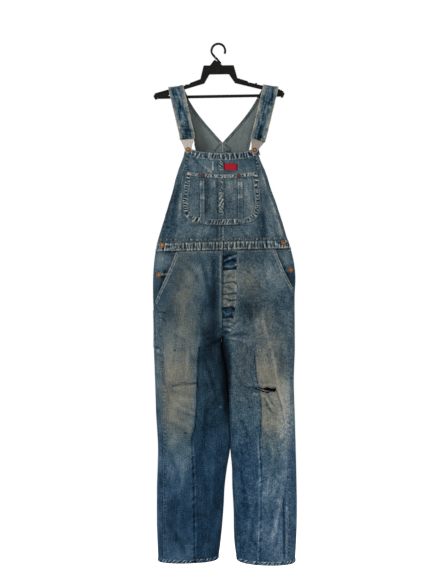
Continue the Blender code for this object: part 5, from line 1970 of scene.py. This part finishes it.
# %% Turned pieces
def turned(name, profile, at, normal, material, replaced, slot="button_metal", steps=32):
    """A turned piece; each row of its profile is a radius, a height and how dark that ring is."""
    side = normalize(np.cross(normal, (0.0, 0.0, 1.0)))
    up = np.cross(side, normal)
    turns = np.linspace(0, 2 * math.pi, steps, endpoint=False)
    points, low = [], []
    for radius, height, dark in profile:
        ring = [at + normal * height + (side * math.cos(t) + up * math.sin(t)) * radius for t in turns]
        points += ring
        low += [dark] * steps
    faces = []
    for k in range(len(profile) - 1):
        for i in range(steps):
            j = (i + 1) % steps
            faces.append((k * steps + i, k * steps + j, (k + 1) * steps + j, (k + 1) * steps + i))
    last = (len(profile) - 1) * steps
    faces += [tuple(reversed(range(steps))), tuple(range(last, last + steps))]
    mesh = new_mesh(name, points, faces, material)
    mesh.attributes.new("low", "FLOAT", "POINT").data.foreach_set("value", np.array(low, np.float32))
    work = bmesh.new()
    work.from_mesh(mesh)
    bmesh.ops.recalc_face_normals(work, faces=work.faces)
    work.to_mesh(mesh)
    work.free()
    return finish_piece(linked(name, mesh), replaced, slot)


def button_rings(diameter, foot, head):
    """The profile of a button from the middle of its face to its shank."""
    r = diameter / 2
    return (
        (r * 0.02, head + 0.05, 0.0),
        (r * 0.34, head, 0.0),
        (r * 0.50, head - 0.25, 0.25),
        (r * 0.60, head - 0.75, 1.0),
        (r * 0.68, head - 0.75, 1.0),
        (r * 0.78, head - 0.25, 0.2),
        (r * 0.90, head - 0.3, 0.0),
        (r * 0.99, head - 0.9, 0.3),
        (r, head - 1.4, 0.6),
        (r * 0.86, head - 2.0, 1.0),
        (r * 0.42, head - 2.1, 1.0),
        (r * 0.42, foot, 1.0),
    )


def hip_plain(side):
    """The hip's form as a function of x and drop, for the button on it."""

    def surface(x, drop):
        share = leg_share(side, x, drop)
        edge = np.maximum(slash_share(side, drop), 0.01)
        return leg_spot(side, "front", drop, share, SLASH_MOUTH * smooth(share / edge))

    return surface


print("rings of a button:", len(button_rings(BUTTON_DIAMETER, 0.4, 3.6)))

# %% Buttons and rivets
WAIST_BUTTONS = {"right": (-182.5, 654), "left": (210, 645.5)}
HIP_BUTTONS = {"right": (-194, 749), "left": (235, 733)}
RIVETS = {"right": (-51, 426), "left": (66, 428)}
for side in SIDES:
    turned_pieces = (
        ("waist_button", WAIST_BUTTONS[side], trunk_spot, BUTTON_DIAMETER, 0.6, brass),
        ("hip_button", HIP_BUTTONS[side], hip_plain(side), BUTTON_DIAMETER, 0.4, brass),
        ("pocket_rivet", RIVETS[side], bib_spot, RIVET_DIAMETER, PATCH_WALL + SEAM + 0.6, copper),
    )
    for kind, place_on, surface, diameter, foot, metal in turned_pieces:
        at, normal, up = spot_frame(surface, *place_on)
        rings = button_rings(diameter, foot, foot + 3.2)
        turned(f"{kind}_{side}_face", rings, at + normal * 0.9, normal, metal, [f"{kind}_{side}"])
    at, across, up, normal = buckle_frame(side)
    head = button_rings(BUTTON_DIAMETER, 0.4, BUCKLE_OUT + 2 * BUCKLE_HALF + 3.5)
    turned(f"bib_button_{side}_face", head, at + normal * 0.6, normal, brass, [f"bib_button_{side}"])
print("with buttons and rivets:", len(PIECES), "pieces")


# %% Buckle plates
def arc(radius, start, end, count, x=0.0, y=0.0):
    turns = np.radians(np.linspace(start, end, count + 1))
    return [(x + radius * math.cos(t), y + radius * math.sin(t)) for t in turns]


def plate(name, outlines, half_thickness, round_over, material, matrix, replaced, slot):
    """A flat plate with rounded edges from its outlines in millimetres; inner outlines are holes."""
    data = bpy.data.curves.new(name, "CURVE")
    data.dimensions = "2D"
    data.fill_mode = "BOTH"
    data.extrude = (half_thickness - round_over) * MM
    data.bevel_depth = round_over * MM
    data.offset = -round_over * MM
    data.bevel_resolution = 2
    for outline in outlines:
        spline = data.splines.new("POLY")
        spline.points.add(len(outline) - 1)
        for point, (x, y) in zip(spline.points, outline):
            point.co = (x * MM, y * MM, 0, 1)
        spline.use_cyclic_u = True
    data.materials.append(material)
    curve = linked(name + "_curve", data)
    bpy.context.view_layer.update()
    mesh = bpy.data.meshes.new_from_object(curve.evaluated_get(bpy.context.evaluated_depsgraph_get()))
    bpy.data.objects.remove(curve)
    mesh.transform(matrix)
    return finish_piece(linked(name, mesh), replaced, slot)


BUCKLE_HEIGHT, BUCKLE_SHOULDER = 44.0, 34.0
for side in SIDES:
    at, across, up, normal = buckle_frame(side)
    half = STRAP_WIDTH / 2 - 1.5
    shoulder = [(-half, BUCKLE_HEIGHT), (-half, BUCKLE_SHOULDER), (-15, 15)]
    outline = shoulder + arc(10.8, 195, 345, 20) + [(-x, y) for x, y in reversed(shoulder)]
    seat = Vector(at + normal * (BUCKLE_OUT + BUCKLE_HALF)) * MM
    turn = Matrix((Vector(across), Vector(up), Vector(normal))).transposed().to_4x4()
    matrix = Matrix.Translation(seat) @ turn
    outlines = [outline, arc(4.6, 0, 345, 23)]
    replaced = [f"buckle_{side}"]
    plate(f"buckle_plate_{side}", outlines, BUCKLE_HALF, 0.45, buckle_metal, matrix, replaced, "buckle_metal")
print("hardware done:", len(PIECES), "pieces")

# %% [markdown]
# ## The hanger
# A moulded black hanger. Its arms slope away from a wide neck, a thin bar joins their ends, and the hook is
# a round wire with a rounded tip. Small radii along every edge catch the light as moulded plastic does.

# %% Hanger
# outlines go round the piece: x and drop for the arms, x and height for the bar and the gusset
neck = [(-48.5, 67.5), (-46, 66.6), (48, 65.7), (50.5, 66.5)]
left_top = [(62, 107.5), (95, 117.5), (97, 121), (119, 126), (120, 124), (126, 124)]
left_top += [(127, 128.6), (145, 132), (196, 143), (211, 150), (216, 159)]
left_low = [(210, 172), (204, 172), (203, 164), (176, 163), (160, 150), (114, 139), (54, 124.5), (34, 95.5)]
right_low = [(-29, 96.5), (-46, 126), (-109, 145), (-150, 153), (-166, 168)]
right_low += [(-199, 171), (-199, 178), (-206, 178)]
right_top = [(-212, 167), (-206, 157), (-165, 145.3), (-110, 133), (-109, 129.4), (-103, 128.4)]
right_top += [(-102, 129), (-94, 127), (-92, 123.5), (-59, 111)]
upright = Matrix.Rotation(math.pi / 2, 4, "X")
body_outline = [(x, -drop) for x, drop in neck + left_top + left_low + right_low + right_top]
plate("hanger_arms", [body_outline], 4.0, 1.1, plastic, upright, ["hanger_body"], "hanger_plastic")
bar_outline = [(-198.6, -166), (203.6, -159), (203.6, -168.5), (-198.6, -176)]
plate("hanger_lower_bar", [bar_outline], 3.5, 1.4, plastic, upright, ["hanger_bar"], "hanger_plastic")
gusset = [(-15, -50), (-11, -48), (14, -66.5), (-28, -67.1)]
plate("hook_gusset", [gusset], 4.2, 0.8, plastic, upright, ["hanger_hook"], "hanger_plastic")

HOOK_RADIUS, HOOK_WIRE = 22.2, 3.9
wire_data = bpy.data.curves.new("hook_wire", "CURVE")
wire_data.dimensions = "3D"
wire_data.bevel_depth = HOOK_WIRE * MM
wire_data.bevel_resolution = 4
wire_data.use_fill_caps = True
wire_path = arc(HOOK_RADIUS, -21, 219, 48, 0, -(HOOK_RADIUS - HOOK_WIRE)) + [(-10, -41), (-4, -46), (8, -61)]
tip_x, tip_z = wire_path[0]
aim_x, aim_z = tip_x - wire_path[1][0], tip_z - wire_path[1][1]
reach = math.hypot(aim_x, aim_z)
TIP_ROUNDING = ((3.0, 0.25), (2.4, 0.62), (1.2, 0.92))  # how far past the end, share of the wire's radius
tip = [(tip_x + aim_x / reach * d, tip_z + aim_z / reach * d, w) for d, w in TIP_ROUNDING]
wire_points = tip + [(x, z, 1.0) for x, z in wire_path]
wire_spline = wire_data.splines.new("POLY")
wire_spline.points.add(len(wire_points) - 1)
for point, (x, z, size) in zip(wire_spline.points, wire_points):
    point.co = (x * MM, 0, z * MM, 1)
    point.radius = size
wire_data.materials.append(plastic)
wire = linked("hook_wire_round", wire_data)
bpy.ops.object.select_all(action="DESELECT")
wire.select_set(True)
bpy.context.view_layer.objects.active = wire
bpy.ops.object.convert(target="MESH")
wire.data.shade_smooth()
finish_piece(wire, ["hanger_hook"], "hanger_plastic")
print("hanger done")

# %% [markdown]
# ## The torn knee
# Denim tears along the white weft, so the blue warp breaks first and the pale cross threads are left. Some
# still span the hole, slack and crossed; the rest stand along its two edges as a fringe. Each thread is a
# thin three-sided tube along a bent line.


# %% Torn threads
def threads(name, lines, radius=0.42):
    """Many thin tubes in one mesh; each line is an array of points."""
    points, faces = [], []
    for line in lines:
        along = unit(np.gradient(line, axis=0))
        side = unit(np.cross(along, (0.13, 1.0, 0.21)))
        up = np.cross(along, side)
        first = len(points)
        for i, spot in enumerate(line):
            thin = radius * (1 - 0.45 * i / len(line))
            for turn in (0.0, 2.1, 4.2):
                points.append(spot + (side[i] * math.cos(turn) + up[i] * math.sin(turn)) * thin)
        for i in range(len(line) - 1):
            for k in range(3):
                low, high = first + 3 * i, first + 3 * i + 3
                faces.append((low + k, low + (k + 1) % 3, high + (k + 1) % 3, high + k))
    return finish_piece(linked(name, new_mesh(name, points, faces, cotton_thread)), [])


knee = LEG["left", "front"]
random = np.random.default_rng(7)
bend = np.linspace(0, 1, 9)
lines = []
for k in range(5):  # these span the hole
    start_x, end_x = sorted(random.uniform(126, 189, 2))
    if end_x - start_x < 9:
        end_x = start_x + 14
    x = start_x + (end_x - start_x) * bend + random.uniform(-1, 1) * np.sin(bend * 6)
    drop = random.uniform(1113, 1118) + (random.uniform(8, 15) if k % 3 else 2) * bend
    drop = drop + random.uniform(1, 4) * np.sin(bend * math.pi)
    lines.append(knee.at(*knee.find(x, drop), 0.2 - 1.4 * np.sin(bend * math.pi)))
for k in range(44):  # the fringe along both edges
    lower = k % 5 > 0
    x = random.uniform(124, 190)
    edge = random.uniform(1132, 1136) if lower else 1113
    length = random.uniform(3, 11) if lower else random.uniform(1, 3)
    x = x + random.uniform(-4, 4) * bend**2
    drop = edge + length * bend
    lines.append(knee.at(*knee.find(x, drop), 0.3 + random.uniform(0.2, 2.0) * bend * (1 - 0.5 * bend)))
threads("torn_knee_threads", lines)
print("threads at the knee:", len(lines))

# %% [markdown]
# ## A hanging loop
# A short loop of tape is sewn inside the V of the back, where the two halves meet.

# %% Hanging loop
loop_path = np.array(
    [(16.5, 20.0, -333.0), (20, 17.0, -341.0), (28, 16.0, -346.0), (36, 16.5, -341.0), (39, 19.0, -331.0)]
)
fine = np.linspace(0, len(loop_path) - 1, 30)
loop_line = np.stack([np.interp(fine, range(len(loop_path)), loop_path[:, k]) for k in range(3)], -1)
for _ in range(6):
    loop_line[1:-1] = (loop_line[:-2] + 2 * loop_line[1:-1] + loop_line[2:]) / 4
tape = unit(np.cross(np.gradient(loop_line, axis=0), (0.0, 1.0, 0.0)))
loop_spots = loop_line[:, None] + tape[:, None] * np.linspace(-1.9, 1.9, 4)[None, :, None]
loop_fade = 0.55 + 0.15 * bumps(fine * 5, 0 * fine, 6.0, 88)[:, None] + np.zeros((30, 4))
loop_layers = {"fade": loop_fade, "dirt": 0.6 + 0 * loop_fade, "rub": 0 * loop_fade, "spot": 0 * loop_fade}
loop = add_cloth("hanging_loop", loop_spots, loop_layers, (0, -1, 0), 0.8, (denim, denim))
finish_piece(loop, [])
print("loop tape:", round(float(travelled(loop_line)[-1])), "mm")

# %% [markdown]
# ## Stitches
# Every row was remembered while its seam was laid. Each stitch is a tiny lens of thread, 2.5 mm long, and
# all of them go into one mesh for the front and one for the back.


# %% Build the stitches
def add_stitches(name, rows, length=2.5, width=0.75, height=0.55):
    centre, along, up = (np.concatenate([row[k] for row in rows]) for k in range(3))
    aside = np.cross(along, up)
    corners = np.stack(
        [
            centre - along * length / 2,
            centre + aside * width / 2,
            centre + along * length / 2,
            centre - aside * width / 2,
            centre + up * height,
            centre - up * 0.2,
        ],
        1,
    )
    shape = np.array([(0, 1, 4), (1, 2, 4), (2, 3, 4), (3, 0, 4), (1, 0, 5), (2, 1, 5), (3, 2, 5), (0, 3, 5)])
    faces = (shape[None] + 6 * np.arange(len(centre))[:, None, None]).reshape(-1, 3)
    finish_piece(linked(name, new_mesh(name, corners.reshape(-1, 3), faces.tolist(), pale_thread)), [])
    return len(centre)


for group, rows in STITCHES.items():
    print(group, "stitches:", add_stitches(f"stitches_{group}", rows))


# %% Size and the end
print("size in mm before:", [round((b - a) / MM, 1) for a, b in zip(cad_low, cad_high)])
